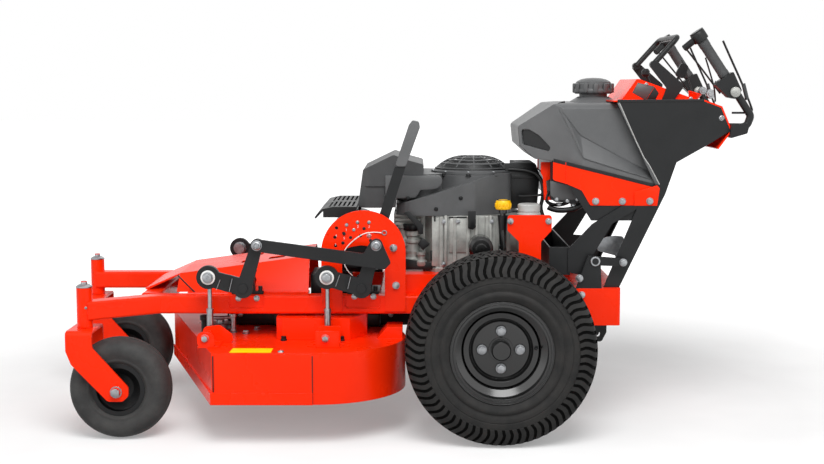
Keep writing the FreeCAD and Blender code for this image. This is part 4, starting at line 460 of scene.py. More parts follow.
def turfTread(side):
    look = turfTyre
    centre = middleOf("drive_tyre_" + side)
    half = look["side"] + look["crown"]
    columns = look["columns"]
    step = math.tau / (look["lugs"] * columns)
    middleRow = look["grooves"][2][0]
    outerRow = look["grooves"][1][1]
    piece = spun(bothWays(half), centre, right, look["lugs"] * columns)
    bpy.ops.object.mode_set(mode="EDIT")
    bpy.ops.mesh.select_mode(type="FACE")
    bpy.ops.mesh.select_all(action="DESELECT")
    bpy.ops.object.mode_set(mode="OBJECT")
    for face in piece.data.polygons:
        arm = (face.center - centre) / mm
        radius, out = math.hypot(arm.x, arm.z), abs(arm.y)
        if radius < look["from"]:
            continue
        near = sorted(half, key=lambda row: math.hypot(row[0] - radius, row[1] - out))[:2]
        turn = (near[0][2] + near[1][2]) / 2 * (1 if arm.y > 0 else -1)
        column = round((math.atan2(arm.x, arm.z) - math.radians(turn)) / step - 0.5) % columns
        if out > look["shoulder"]:
            face.select = column < look["land"]
        elif not any(low < out < high for low, high in look["grooves"]):
            shift = 0 if middleRow <= out <= outerRow else look["shift"]
            face.select = (column + shift) % columns < look["land"] + 1
    # faces between the lugs take material 1, the darker rubber painted as the grooves' shade
    for face in piece.data.polygons:
        isTread = math.dist(face.center.xz, centre.xz) > look["from"] * mm
        face.material_index = int(isTread and not face.select)
    bpy.ops.object.mode_set(mode="EDIT")
    bpy.ops.mesh.extrude_region_shrink_fatten(TRANSFORM_OT_shrink_fatten={"value": look["lugHeight"] * mm})
    bpy.ops.object.mode_set(mode="OBJECT")
    inGroove = [face.material_index for face in piece.data.polygons]
    tyre = finished(piece, "turfTyre_" + side, tyreRubber, "drive_wheel_" + side, 40)
    tyre.data.materials.append(paintedGrooveShade)
    tyre.data.polygons.foreach_set("material_index", inGroove)
    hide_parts("drive_tyre_" + side)


def casterTread(side):
    half = [(radius, out, 0) for radius, out in casterTyre["side"] + casterTyre["ribs"]]
    piece = spun(bothWays(half), middleOf("caster_tyre_" + side), right, 96)
    tyre = finished(piece, "casterTyre_" + side, casterRubber, "caster_wheel_" + side, 40)
    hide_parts("caster_tyre_" + side)


for side in ("left", "right"):
    turfTread(side)
    casterTread(side)
print("tyres")


# bolts and pins on the chassis: the kind, the width across the flange, and the places on the left side

chassisBolts = {
    "skirtBolts": (hexBolt, 20, [(271, -237, 638), (345, -237, 638), (420, -242.7, 639)]),
    "pocketNuts": (hexBolt, 17, [(-721, -252.4, 368), (-670, -252.4, 368), (-398, -252.4, 373),
                                 (-345, -252.4, 373)]),
    "brakePins": (hexBolt, 22, [(346, -266.4, 471), (226, -262.4, 426)]),
    "cheekBolt": (domeBolt, 17, [(613, -241, 868)]),
    "lidScrews": (domeBolt, 11, [(375, -150, 907), (546, -150, 920), (420, -150, 960)]),
    "rearBoxBolts": (hexBolt, 20, [(233, -263.4, 380), (233, -263.4, 312)])}
leftBolts = {"dialBolts": (hexBolt, 21, [(-289, -262.4, 511), (-282, -262.4, 406)]),
             "bracketBolts": (hexBolt, 18, [(36, -232.4, 582), (142, -232.4, 582)])}
brakePivot = {"x": 269, "y": 266.4, "z": 474, "bolt": 16, "washer": (6, 13.5, 2.5)}
for name, (kind, size, places) in chassisBolts.items():
    bolts(name + "_left", kind, places, left, size)
    bolts(name + "_right", kind, [(x, -y, z) for x, y, z in places], right, size)
for name, (kind, size, places) in leftBolts.items():
    bolts(name, kind, places, left, size)
for name, side, axis in sides:
    x, y, z = brakePivot["x"], brakePivot["y"], brakePivot["z"]
    ring("brakeWasher_" + name, (x, y * side, z), *brakePivot["washer"], axis, zincSteel)
    head = (x, (y + 2) * side, z)
    bolts("brakePivot_" + name, domeBolt, [head], axis, brakePivot["bolt"], material=blackPlastic)
print("bolts on the chassis")


# deck lift: white bushes and bolts at the arms' eyes, pins at the link bar, bolts at the deck's brackets

lift = {"eyeX": (-792.3, -469.1), "eyeZ": 438, "pinX": (-657.3, -334.1), "pinZ": 527, "face": 333,
        "boltFace": 334.332, "bush": (12.5, 19.6, 1.6), "washer": (8.2, 14.5, 1.8), "pinFace": -345,
        "deckFace": 400, "deckBolt": 283}
for place, x, pinX in zip(("front", "rear"), lift["eyeX"], lift["pinX"]):
    for name, side, axis in sides:
        end = "_" + place + "_" + name
        eye, head = [(x, lift[face] * side, lift["eyeZ"]) for face in ("face", "boltFace")]
        ring("whiteBush" + end, eye, *lift["bush"], axis, whitePlastic, "hanger" + end)
        bolts("eyeBolt" + end, hexBolt, [head], axis, 31, "hanger" + end)
        bolts("rodBolt" + end, hexBolt, [(x, lift["deckFace"] * side, lift["deckBolt"])], axis, 22, "deck")
    pin = (pinX, lift["pinFace"], lift["pinZ"])
    bolts("linkPin_" + place, domeBolt, [pin], left, 25, "lift_" + place)
    ring("linkWasher_" + place, (pinX, pin[1] + 2, pin[2]), *lift["washer"], left, zincSteel, "lift_" + place)
print("deck lift fittings")


# wheels: lug bolts on dark washers, valves, and beads that roll the rims' lips over

wheel = {"radius": 257.5, "face": 414, "circle": 50.8, "bolt": 28, "washer": (8, 15, 3),
         "valve": (92, 411, 263.5),
         "stem": [(0, 34), (2.6, 34), (3.2, 30), (3.2, 24), (4.8, 22), (5.2, 6), (8.5, 3), (8.5, -3)],
         "lipOut": 88.8, "beads": [(135.4, 138.4, 2.6), (128.6, 131, 2.4)]}
circle = [(wheel["circle"] * math.sin(a), wheel["radius"] + wheel["circle"] * math.cos(a))
          for a in (0, math.pi / 2, math.pi, -math.pi / 2)]
lipFace = abs(leftWheel.y - axle.y) / mm + wheel["lipOut"]
for name, side, axis in sides:
    body = "drive_wheel_" + name
    heads = [(x, (wheel["face"] + 6) * side, z) for x, z in circle]
    bolts("lugBolts_" + name, hexBolt, heads, axis, wheel["bolt"], body)
    for i, (x, z) in enumerate(circle):
        place = (x, (wheel["face"] + 3) * side, z)
        ring("lugWasher_" + name + str(i), place, *wheel["washer"], axis, blackPlastic, body)
    x, y, z = wheel["valve"]
    turned("valveStem_" + name, wheel["stem"], (x, y * side, z), axis, 20, blackPlastic, body)
    for i, bead in enumerate(wheel["beads"]):
        ring("rimBead_" + name + str(i), (0, lipFace * side, wheel["radius"]), *bead, axis, glossBlack, body)
print("rims and wheel bolts")


# casters: zinc caps, axle bolts and grease fittings

caster = {"places": {"left": (-1126, -347), "right": (-1230, 232)}, "capZ": 413.6, "trail": 95,
          "axleZ": 139.5, "outer": 67, "grease": (8, -19.5, 360), "bolt": 32, "washer": (9, 16, 1.8),
          "cap": [(21.6, 0.4), (21.9, 0.4), (21.9, 3.6), (20.6, 4.2), (14.2, 8.4), (8.8, 8.8), (8.8, 13),
                  (7, 17.8), (0, 17.8)]}
for side, (x, y) in caster["places"].items():
    body = "caster_swivel_" + side
    turned("casterCap_" + side, caster["cap"], (x, y, caster["capZ"]), up, 32, zincSteel, body)
    grease = caster["grease"]
    bolts("greaseFitting_" + side, domeBolt, [(x + grease[0], y + grease[1], grease[2])], left, 8)
    for name, axis in (("Head", left), ("Nut", right)):
        end = name + "_" + side
        reach, place = caster["outer"] * axis.y, (x + caster["trail"], y, caster["axleZ"])
        ring("casterWasher" + end, (place[0], y + reach, place[2]), *caster["washer"], axis, zincSteel, body)
        head = (place[0], y + reach + 1.5 * axis.y, place[2])
        bolts("casterAxle" + end, hexBolt, [head], axis, caster["bolt"], body)
print("caster fittings")


# height dial: figures beside the holes, a lanyard and its pin

dial = {"figures": [(-419, 558), (-387, 567), (-356, 567), (-447, 542), (-425, 535), (-407, 522), (-382, 528),
                    (-449, 517)],
        "size": 9, "ring": (-314, -263, 553), "pin": (-356, -262.4, 544), "face": -262.5,
        "route": [(-322, 553), (-352, 557), (-386, 544), (-427, 506), (-428, 470), (-412, 440), (-392, 424)]}


def figure(text, place, size):
    data = bpy.data.curves.new("figure", "FONT")
    data.body = text
    data.size = size * mm
    data.extrude = 0.1 * mm
    data.align_x = "CENTER"
    piece = added("figure", data)
    piece.location = place
    piece.rotation_euler = (math.pi / 2, 0, 0)
    only(piece)
    bpy.ops.object.convert(target="MESH")
    return bpy.context.object


figures = [figure(str(i % 5 + 1), at(x, dial["face"], z), dial["size"])
           for i, (x, z) in enumerate(dial["figures"])]
finished(joined(figures), "dialFigures", whitePlastic, "chassis", 30)
ring("lanyardRing", dial["ring"], 4.6, 7.4, 1.8, left, zincSteel)
hose("lanyard", [(x, dial["face"] - 2, z) for x, z in dial["route"]], 1.5, whitePlastic)
bolts("heightPin", domeBolt, [dial["pin"]], left, 15)
print("height dial")


# engine: dipstick cap, screws round the fan guard, intake, breather, governor and hoses

engine = {"cap": (18, -192, 611.6),
          "capProfile": [(14, -1), (20.4, 0), (21.8, 2), (21.8, 7), (21, 9), (21.8, 11), (21.8, 19.6),
                         (19, 25), (12, 27), (0, 27.4)],
          "fanX": -60, "screws": 10, "firstScrew": -170, "guard": (117.5, 710.5), "boss": (126, 699),
          "elbow": [(0, 0), (22, 0), (24, 3), (24, 12), (19, 15), (19, 24), (24, 27), (24, 38), (19, 41),
                    (19, 50), (23, 53), (23, 66), (20, 69), (0, 69)],
          "clamp": [(0, 0), (27, 0), (29, 3), (29, 15), (26, 18), (0, 18)],
          "tab": [(-80, 606), (-58, 606), (-58, 560), (-66, 552), (-80, 556)],
          "governor": [(-262, 600), (-246, 606), (-206, 566), (-206, 540), (-220, 540), (-224, 560)],
          "lowBolts": [-148, -108, -66, -12, 28], "highBolts": [-148, -108, -12],
          "screwPlaces": [(-250, -160, 640), (-170, -172, 610), (-100, -160, 640), (0, -118, 612)],
          "hoses": {"breatherHose": (5.5, [(40, -70, 716), (104, -84, 716), (136, -96, 690), (140, -98, 640),
                                           (128, -100, 600), (150, -110, 560)]),
                    "fuelLine": (3.5, [(70, -90, 640), (110, -110, 640), (150, -120, 652), (190, -130, 650)]),
                    "engineCable": (2.2, [(116, -86, 724), (150, -90, 700), (160, -96, 660),
                                          (150, -110, 620)])},
          "reservoir": (90, -197.4, 598),
          "reservoirCap": [(0, -2), (33, -2), (33.5, 2), (30, 4), (30, 8), (31.5, 10), (31.5, 27), (28, 30),
                           (0, 31)]}


def roundTheFan(radius, z):
    turns = [math.radians(engine["firstScrew"] + i * 360 / engine["screws"]) for i in range(engine["screws"])]
    return [(engine["fanX"] + radius * math.cos(a), radius * math.sin(a), z) for a in turns]


turned("dipstickCap", engine["capProfile"], engine["cap"], up, 36, yellowPlastic)
bolts("guardScrews", domeBolt, roundTheFan(*engine["guard"]), up, 10)
bolts("guardBosses", hexBolt, roundTheFan(*engine["boss"]), up, 17, material=blackPlastic)
turned("intakeElbow", engine["elbow"], (-236, -128, 478), up, 28, castAlloy)
turned("intakeClamp", engine["clamp"], (-236, -128, 546), up, 28, blackPlastic)
plate("breatherTab", engine["tab"], -176, 7, blackPlastic, 2)
plate("governorArm", engine["governor"], -178, 3, blackCoat)
lowBolts = [(x, -171, 452) for x in engine["lowBolts"]]
bolts("crankcaseBolts", hexBolt, lowBolts + [(x, -171, 574) for x in engine["highBolts"]], left, 13)
bolts("shroudScrews", domeBolt, engine["screwPlaces"], left, 12, material=blackPlastic)
for name, (radius, route) in engine["hoses"].items():
    hose(name, route, radius, blackPlastic)
turned("reservoirCap", engine["reservoirCap"], engine["reservoir"], up, 36, paleCapAndHighlight)
print("engine fittings")


# under the tank: the thin bracket in front of the skirt, hoses, screws and unions at the sump

sump = {"bracket": [(126, 742), (166, 742), (166, 700), (142, 688), (146, 644), (174, 640), (174, 634),
                    (136, 634), (132, 700), (126, 712)],
        "tankHose": [(146, -168, 616), (160, -170, 608), (196, -172, 606), (236, -176, 616),
                     (262, -180, 640)],
        "sumpHose": [(152, -150, 660), (140, -150, 640), (150, -150, 622), (190, -150, 618),
                     (214, -150, 632)],
        "screws": [(168, -190, 640), (198, -190, 636), (226, -190, 640)],
        "unions": [(176, -174, 628), (216, -174, 626)]}
plate("tankBracket", sump["bracket"], -150, 4, redCoat)
hose("tankHose", sump["tankHose"], 8, blackPlastic)
hose("sumpHose", sump["sumpHose"], 5, blackPlastic)
bolts("sumpScrews", hexBolt, sump["screws"], left, 12)
bolts("sumpUnions", hexBolt, sump["unions"], -up, 17)
print("under the tank")


# tank: black strip above the skirt, gauge, and the blank panel on the console's lid

tank = {"strip": [(153, 757), (446, 683), (444, 674), (152, 747)],
        "panel": [(396, 965), (381, 937), (420, 915), (443, 954)],
        "recess": [(443.6, 953), (421, 915), (445, 914), (456, 935)], "flank": 236.6, "lid": 150,
        "gauge": (181, -150, 898), "gaugeAxis": Vector((-0.35, 0, 1)).normalized()}
for name, side, axis in sides:
    plate("skirtStrip_" + name, tank["strip"], tank["flank"] * side, -1.4 * side, blackPlastic, 0.5)
    plate("lidPanel_" + name, tank["panel"], tank["lid"] * side, -1.2 * side, enginePlastic, 0.4)
    plate("lidRecess_" + name, tank["recess"], tank["lid"] * side, -0.8 * side, blackPlastic, 0.3)
ring("gaugeRim", tank["gauge"], 9, 15, 12, tank["gaugeAxis"], blackPlastic)
turned("gaugeLens", [(0, 11), (6, 10), (9, 8)], tank["gauge"], tank["gaugeAxis"], 24, paleCapAndHighlight)
print("tank and lid")


# handles: rubber grips, light pivot discs, wire bails and the cables between them

handles = {"y": 235, "top": (552, 0, 1083), "foot": (620, 0, 982), "pivot": (646, 939), "pivotOut": 20,
           "bailIn": 12, "bailWire": 3, "funnelPlace": (596, 60, 917), "funnelAxis": (0.3, 0, 1),
           "grip": [(14.2, 2), (15.4, 4), (15.4, 12), (14.6, 14), (14.6, 96), (15.4, 99), (15.4, 116),
                    (14.4, 118)],
           "cap": [(14.2, 116), (20.4, 117), (20.9, 119), (20.9, 141), (19.2, 144.4), (12, 146), (0, 146.2)],
           "disc": [(0, 4), (9, 4), (10.5, 3), (12.4, 3), (14.2, 1.6), (14.2, -8)],
           "bail": [(615, 1079), (638, 1030), (671, 962), (699, 896), (700.5, 887), (694, 882), (672, 882),
                    (645, 882)],
           "sleeve": [(674, 962), (680, 940), (686, 918)],
           # rods and cables as (x, inwards from the handle, z)
           "crossBar": [(543, 0, 1086), (526, 10, 1072), (511, 20, 1058)],
           "gripRod": [(518, 30, 1058), (568, 34, 997), (617, 38, 935)],
           "gripCable": [(581, 70, 1034), (590, 74, 1010), (600, 76, 980), (612, 80, 945), (616, 90, 912)],
           "funnel": [(0, 0), (13, 0), (14, 2), (19, 16), (20, 16), (20, 20), (17, 20), (12, 6), (0, 6)],
           "levers": [(662, 120, 931, 14), (639, 124, 941, 12), (628, 150, 930, 11)]}
gripAxis = (at(*handles["top"]) - at(*handles["foot"])).normalized()
for name, side, axis in sides:
    y = handles["y"] * side
    footX, _, footZ = handles["foot"]
    turned("grip_" + name, handles["grip"], (footX, y, footZ), gripAxis, 32, gripRubber)
    turned("gripCap_" + name, handles["cap"], (footX, y, footZ), gripAxis, 32, blackPlastic)
    x, z = handles["pivot"]
    for face in (-1, 1):
        end = "Out" if face == side else "In"
        place = (x, y + handles["pivotOut"] * face, z)
        turned("gripPivot_" + name + end, handles["disc"], place, right * face, 28, castAlloy)
    bailY = y - handles["bailIn"] * side
    hose("wireBail_" + name, [(x, bailY, z) for x, z in handles["bail"]], handles["bailWire"], blackCoat)
    wire("bailSleeve_" + name, [(x, bailY, z) for x, z in handles["sleeve"]], 5.6, gripRubber)
    rods = {part: [(x, y - inwards * side, z) for x, inwards, z in handles[part]]
            for part in ("crossBar", "gripRod", "gripCable")}
    wire("crossBar_" + name, rods["crossBar"], 9.5, blackCoat)
    wire("gripRod_" + name, rods["gripRod"], 2.6, blackCoat)
    hose("gripCable_" + name, rods["gripCable"], 2.4, blackPlastic)
funnelAxis = Vector(handles["funnelAxis"]).normalized()
turned("cableFunnel", handles["funnel"], handles["funnelPlace"], funnelAxis, 28, redCoat)
for i, (x, y, z, radius) in enumerate(handles["levers"]):
    disc = [(0, 6), (radius * 0.5, 6), (radius * 0.6, 4), (radius * 0.85, 4), (radius, 2), (radius, -10),
            (0, -10)]
    turned("leverDisc_" + str(i), disc, (x, y, z), left, 28, zincSteel)
    post = [(x, y + 6, z), (x - 16, y + 8, z - 18), (x - 26, y + 8, z - 36)]
    wire("leverPost_" + str(i), post, 5, blackCoat)
print("handles and cables")


# deck: blank yellow label, corner seam, and the idler with its bolts between the deck and the rails

deck = {"top": 257, "label": [(-717, -404), (-609, -404), (-609, -462), (-719, -462)],
        "labelBolt": (-584, -448), "idlerPlace": (-829, -172), "pulleyPlace": (-787, -160),
        "postPlace": (-747, -172), "pulleyRise": 9,
        "bolts": [(-787, -160), (-747, -172), (-709, -192), (-685, -130)],
        "idler": [(0, 0), (10, 0), (10, 34), (14, 36), (14, 48), (9, 50), (0, 50)],
        "pulley": [(0, 0), (30, 0), (32, 2), (26, 9), (32, 16), (30, 18), (12, 18), (12, 26), (0, 26)],
        "post": [(0, 0), (8, 0), (8, 44), (12, 46), (12, 54), (0, 54)],
        "foot": [(0, 0), (9, 0), (9, 3), (7, 4), (7, 12), (0, 12)], "feet": [(-592, -293), (-432, -293)],
        "spring": [(-829, -172, 298), (-790, -172, 299), (-747, -172, 300)]}
label = slab([at(x, y, deck["top"] + 0.2) for x, y in deck["label"]], up * 0.5 * mm)
finished(label, "blankLabel", labelYellow, "deck", 30)
bolts("labelBolt", domeBolt, [(*deck["labelBolt"], deck["top"])], up, 18, "deck")
strip("cornerSeam", (-762.5, -759.5), (153, 250), -470.2, 1.4, blackPlastic, 0.4, "deck")
strip("stripSeam", (-500.5, -498), (121, 250), -470.6, 1.2, blackPlastic, 0.3, "deck")
bolts("deckBolts", hexBolt, [(x, y, deck["top"]) for x, y in deck["bolts"]], up, 22, "deck")
turned("idlerPost", deck["idler"], (*deck["idlerPlace"], deck["top"]), up, 24, blackCoat, "deck")
pulleyPlace = (*deck["pulleyPlace"], deck["top"] + deck["pulleyRise"])
turned("idlerPulley", deck["pulley"], pulleyPlace, up, 32, zincSteel, "deck")
turned("springPost", deck["post"], (*deck["postPlace"], deck["top"]), up, 20, zincSteel, "deck")
wire("idlerSpring", deck["spring"], 5, zincSteel, "deck")
for i, (x, y) in enumerate(deck["feet"]):
    turned("coverFoot_" + str(i), deck["foot"], (x, y, deck["top"]), up, 20, blackPlastic, "deck")
print("deck fittings")


# height dial: the sheet inside its arch, black discs of painted shade for its holes, and the pin heads above
# them

insert = {"centre": (-372, 498), "radius": 61, "gap": [(116.8, (148, 150, 152, 154)), (107, (154, 151, 148))],
          "lower": [(-337, 504), (-345, 510), (-355, 515), (-378, 518), (-403, 514), (-416, 510),
                    (-426, 504)],
          "hole": [(0, 0), (4.4, 0), (4.4, 0.5), (3.6, 0.9), (0, 0.9)],
          "holes": [(-425, 550), (-370, 565), (-407, 540), (-380, 545), (-428, 525), (-352, 532)],
          "heads": [(-418, 574), (-388, 582), (-356, 582), (-398, 561)]}


def arc(radius, turns):
    x, z = insert["centre"]
    return [(x + radius * math.cos(math.radians(a)), z + radius * math.sin(math.radians(a))) for a in turns]


edge = arc(insert["radius"], range(174, 0, -12)) + insert["lower"]
plate("dialInsert", edge, dial["face"], 1.6, redCoat, 0.5)
# closes the arch where its last hole breaks the edge
gap = [point for radius, turns in insert["gap"] for point in arc(radius, turns)]
plate("dialEdge", gap, -257.5, 5.1, redCoat, 0.1)
# black discs on the sheet: painted shade where its holes fall dark
for i, (x, z) in enumerate(insert["holes"]):
    turned("dialHoleShade_" + str(i), insert["hole"], (x, dial["face"] - 1.5, z), left, 20, blackPlastic)
bolts("dialHeads", domeBolt, [(x, -262.4, z) for x, z in insert["heads"]], left, 10)
print("dial sheet")


# sheet ends: skirt corners and folds, console lip, tank edge with a painted highlight bead, creases, painted
# shade in the nose recess, duct side

formed = {"flank": 241.1, "lipOut": 242,
          "corner": [(377, 626), (377, 664), (440, 683), (447, 674), (441, 626)],
          "lip": [(326, 910), (326, 918.5), (564, 920), (564, 913)],
          "tankEdge": [(325, 910), (331, 910), (380, 803), (402, 759), (417, 738), (446, 685), (434, 684)],
          "return": [(331, 907), (380, 803), (402, 759), (417, 738), (443, 686), (458, 690), (430, 745),
                     (415, 768), (394, 812), (347, 911)],
          "creases": ([(167, 235, 891), (200, 235, 828), (236, 235.4, 757), (300, 235.4, 737),
                       (440, 235.4, 694)],
                      [(180, 208, 884), (231, 208, 819), (330, 208, 766), (430, 208, 713)]),
          "fold": [(187, 746), (187.4, 716), (188, 686)],
          "sump": [(149, 692), (240, 668), (236, 644), (212, 637), (169, 637), (150, 650)],
          "duct": [(31, 604), (123, 604), (129, 699), (117, 734), (31, 734)],
          "ductStep": [(40, 690), (118, 690), (116, 700), (40, 700)],
          # the tank's nose flares from here, and its recess lies a little inside the flare
          "nose": (66, 150), "flare": (170, 84), "sunk": 5.6,
          "recess": [(71, 832), (93, 832), (123, 816), (172, 770), (76, 793)]}
for name, side, axis in sides:
    flank = formed["flank"] * side
    plate("skirtCorner_" + name, formed["corner"], flank, -1.6 * side, redCoat, 0.5)
    plate("consoleLip_" + name, formed["lip"], flank, -1.2 * side, blackCoat, 0.5)
    plate("tankEdge_" + name, formed["tankEdge"], flank, -1.4 * side, tankPlastic, 0.6)
    # a pale bead along the tank's rear edge: a painted highlight where that edge catches the light
    lip = [(x, formed["lipOut"] * side, z) for x, z in formed["tankEdge"][1:6]]
    wire("tankEdgeHighlight_" + name, lip, 1.5, paleCapAndHighlight)
    for i, crease in enumerate(formed["creases"]):
        wire("tankCrease_" + name + str(i), [(x, y * side, z) for x, y, z in crease], 1.1, tankPlastic)
    plate("cheekReturn_" + name, formed["return"], 240.9 * side, 44 * side, blackCoat, 1)
    wire("skirtFold_" + name, [(x, 237 * side, z) for x, z in formed["fold"]], 1.5, redCoat)
    plate("sumpCover_" + name, formed["sump"], 190.2 * side, -2 * side, tankPlastic, 1)
    noseX, noseY = formed["nose"]
    along, aside = formed["flare"]
    flare = Vector((along, aside * side, 0)).normalized()
    inward = Vector((aside, -along * side, 0)).normalized()
    recess = [at(noseX, noseY * side, z) + (flare * (x - noseX) + inward * formed["sunk"]) * mm
              for x, z in formed["recess"]]
    # a black sheet just inside the nose recess: painted shade where the recess falls dark
    finished(slab(recess, inward * 1.6 * mm), "noseRecessShade_" + name, blackPlastic, "chassis", 30)
plate("ductSide", formed["duct"], -70.1, 1.4, blackPlastic)
plate("ductStep", formed["ductStep"], -71, 3, blackPlastic, 1)

# fuel cap: a domed top, a scalloped lower lip and the mound that its neck stands on
cap = {"x": 286, "y": -40,
       "dome": [(0, 979), (20, 978), (36, 974.6), (46, 969.6), (50, 966), (50, 960), (0, 960)],
       "lip": [(40, 934), (55, 935), (57, 938), (57, 944), (54.6, 948), (40, 948), (40, 934)],
       "mound": [(38, 925), (44, 925), (50, 921.5), (72, 908.5), (74, 905), (38, 905), (38, 925)],
       "lobes": 12, "lobe": [(53, -7, 936), (59.5, 7, 963)]}
for part, material in (("dome", enginePlastic), ("lip", enginePlastic), ("mound", tankPlastic)):
    turned("cap" + part.capitalize(), cap[part], (cap["x"], cap["y"], 0), up, 48, material, smooth=40)
lobe = block(*[at(cap["x"] + x, cap["y"] + y, z) for x, y, z in cap["lobe"]], 2.4)
around("capLobes", lobe, cap["lobes"], (cap["x"], cap["y"], 0), enginePlastic)
print("sheet ends and cap")


# engine: duct housing, crankcase panels with black strips of painted shade for its slots and its underside,
# filter end, dipstick tube, debris screen and carburettor

trim = {"duct": [(-314, 704), (-160, 704), (-153, 697), (-151, 686), (-156, 674), (-168, 666), (-184, 663),
                 (-214, 662), (-220, 650), (-228, 640), (-281, 638), (-284, 613), (-314, 613)],
        "panel": [(-133, 580), (-128, 585), (-83, 585), (-83, 486), (-133, 486)],
        "ribs": [-147, -60, -20, 22], "slots": [(-176, 574, 592), (-186, 462, 492), (-158, 462, 492)],
        "filter": [(0, 7), (14, 6.4), (24, 3), (30, -3), (34.6, -8), (34.6, -16), (0, -16)],
        "collar": [(0, -2), (12, -2), (12.6, 3), (11, 5), (11, 15), (8.6, 17), (0, 17)],
        "boot": [(8.6, 18), (11, 60), (14.5, 100), (0, 100), (0, 18)],
        "flutes": 14, "flute": [(20.4, -2.2, 5.4), (23.4, 2.2, 17.4)],
        "screenRadius": 116, "screenBase": 702, "screenHeight": 42, "wires": range(16, 112, 6),
        "carburettor": [(-236, -132, 452, 520, 24), (-212, -150, 446, 486, 15), (-258, -120, 500, 560, 20)],
        "knob": [(-209, 530), (-186, 511), (-207, 493), (-222, 511)],
        "underside": [(-262, 468), (-160, 452), (-160, 436), (-262, 436)]}
plate("ductHousing", trim["duct"], -142, 16, enginePlastic, 3)
plate("crankPanel", trim["panel"], -165, 5, castAlloy, 1.6)
strip("crankPanelTop", (-134, -82), (584, 588), -165, 6, blackPlastic, 0.6)
for i, x in enumerate(trim["ribs"]):
    strip("crankRib_" + str(i), (x, x + 9), (448, 592), -165, 7, castAlloy, 2.4)
# black strips on the crankcase: painted shade where its slots fall dark
for i, (x, low, high) in enumerate(trim["slots"]):
    strip("crankSlotShade_" + str(i), (x, x + 5), (low, high), -165.4, 1.2, blackPlastic, 0.5)
strip("crankFront", (-182, -150), (446, 592), -160, 6, castAlloy, 2)
turned("filterEnd", trim["filter"], (-45, -234, 505), left, 12, glossBlack, smooth=8)
turned("dipstickCollar", trim["collar"], (17, -186, 494), up, 24, zincSteel)
turned("dipstickBoot", trim["boot"], (17.6, -189, 494), up, 24, blackPlastic)
x, y, z = engine["cap"]
flute = block(*[at(x + dx, y + dy, z + dz) for dx, dy, dz in trim["flute"]], 1)
around("dipstickFlutes", flute, trim["flutes"], engine["cap"], yellowPlastic)
screen = [(0, 745), (14, 744.6), (14, 743)]
for radius in trim["wires"]:
    height = trim["screenBase"] + trim["screenHeight"] * math.sqrt(1 - (radius / trim["screenRadius"]) ** 2)
    screen += [(radius, height - 1.4), (radius + 1.6, height), (radius + 4.4, height - 0.6),
               (radius + 5, height - 2)]
screen += [(113, 700), (0, 700)]
turned("debrisScreen", screen, (engine["fanX"], 0, 0), up, 48, blackPlastic, smooth=25)
for i, (x, y, low, high, radius) in enumerate(trim["carburettor"]):
    bowl = [(0, low), (radius, low), (radius + 2, low + 4), (radius + 2, low + 14), (radius - 4, low + 18),
            (radius - 4, high - 12), (radius, high - 8), (radius, high), (0, high)]
    turned("carburettor_" + str(i), bowl, (x, y, 0), up, 24, castAlloy)
plate("throttleKnob", trim["knob"], -168, 12, blackPlastic, 3)
# a black plate low on the crankcase's front: painted shade where the engine's underside falls dark
plate("undersideShade", trim["underside"], -158, 4, blackPlastic, 1)
print("engine trim")


# between the rails and the deck: black blocks of painted shade, shaped as a belt guard with a step on the
# deck and as a box and tray behind the cover, so these gaps fall dark

under = {"guard": ("deck", (-780, -70, 258.5), (-196, 70, 318)),
         "step": ("deck", (-640, -96, 258.5), (-330, -70, 300)),
         "box": ("chassis", (-528, -150, 345), (-414, -20, 424)),
         "tray": ("chassis", (-414, -150, 345), (-196, -20, 371))}
# bolts on the painted-shade blocks
shadeBlockBolts = [(-740, -71, 290), (-600, -97, 284), (-470, -97, 284), (-300, -71, 290), (-230, -71, 290)]
for name, (body, low, high) in under.items():
    finished(block(at(*low), at(*high), 6, 3), "paintedShade_" + name, blackPlastic, body, 40)
bolts("shadeBlockBolts", hexBolt, shadeBlockBolts, left, 15, "deck")
print("between rails and deck")


# chute: the springs and bolts on its hinge

hinge = {"coil": 9, "wire": 1.6, "turns": 7, "pitch": 4.4, "bore": 4.4, "springs": (-846, -700),
         "bolts": (-838, -756, -674)}
chuteLow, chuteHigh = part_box("chute_deflector")
hingeY = (chuteLow.y + 5 * mm - axle.y) / mm
hingeZ = chuteHigh.z / mm - 3
coil, inner, length = hinge["coil"], hinge["coil"] - hinge["wire"], hinge["turns"] * hinge["pitch"]
coils = []
for turn in range(hinge["turns"]):
    start = turn * hinge["pitch"]
    coils += [(inner, start), (coil, start + 1), (coil + 0.6, start + 2.2), (coil, start + 3.4)]
coils += [(inner, length), (hinge["bore"], length), (hinge["bore"], 0), coils[0]]
for i, x in enumerate(hinge["springs"]):
    turned("chuteSpring_" + str(i), coils, (x, hingeY, hingeZ), Vector((1, 0, 0)), 20, zincSteel, "chute", 40)
bolts("chuteBolts", domeBolt, [(x, hingeY + 30, hingeZ - 1) for x in hinge["bolts"]], up, 14, "chute")

# painted highlights as bright zinc lines along the folds across the lift cranks, and a black rod of painted
# shade for the slit in the cover's side
folds = {"frontA": [(-759, 432), (-770, 404)], "frontB": [(-726, 435), (-735, 399)],
         "rearA": [(-434, 445), (-445, 414)], "rearB": [(-404, 440), (-412, 407)]}
# each fold's bright line is a painted highlight, not a part of the crank
for name, ((x0, z0), (x1, z1)) in folds.items():
    route = [(x0, -331.6, z0), ((x0 + x1) / 2, -331.8, (z0 + z1) / 2), (x1, -331.6, z1)]
    wire("crankFoldHighlight_" + name, route, 1, zincSteel, "lift_" + name[:-1])
# a black rod on the cover's side: painted shade where its slit falls dark
wire("coverSlitShade", [(-898, -201, 425), (-875, -201, 401), (-851, -201, 377)], 2.2, blackPlastic)
print("hinge springs and folds")


# floor, light and camera

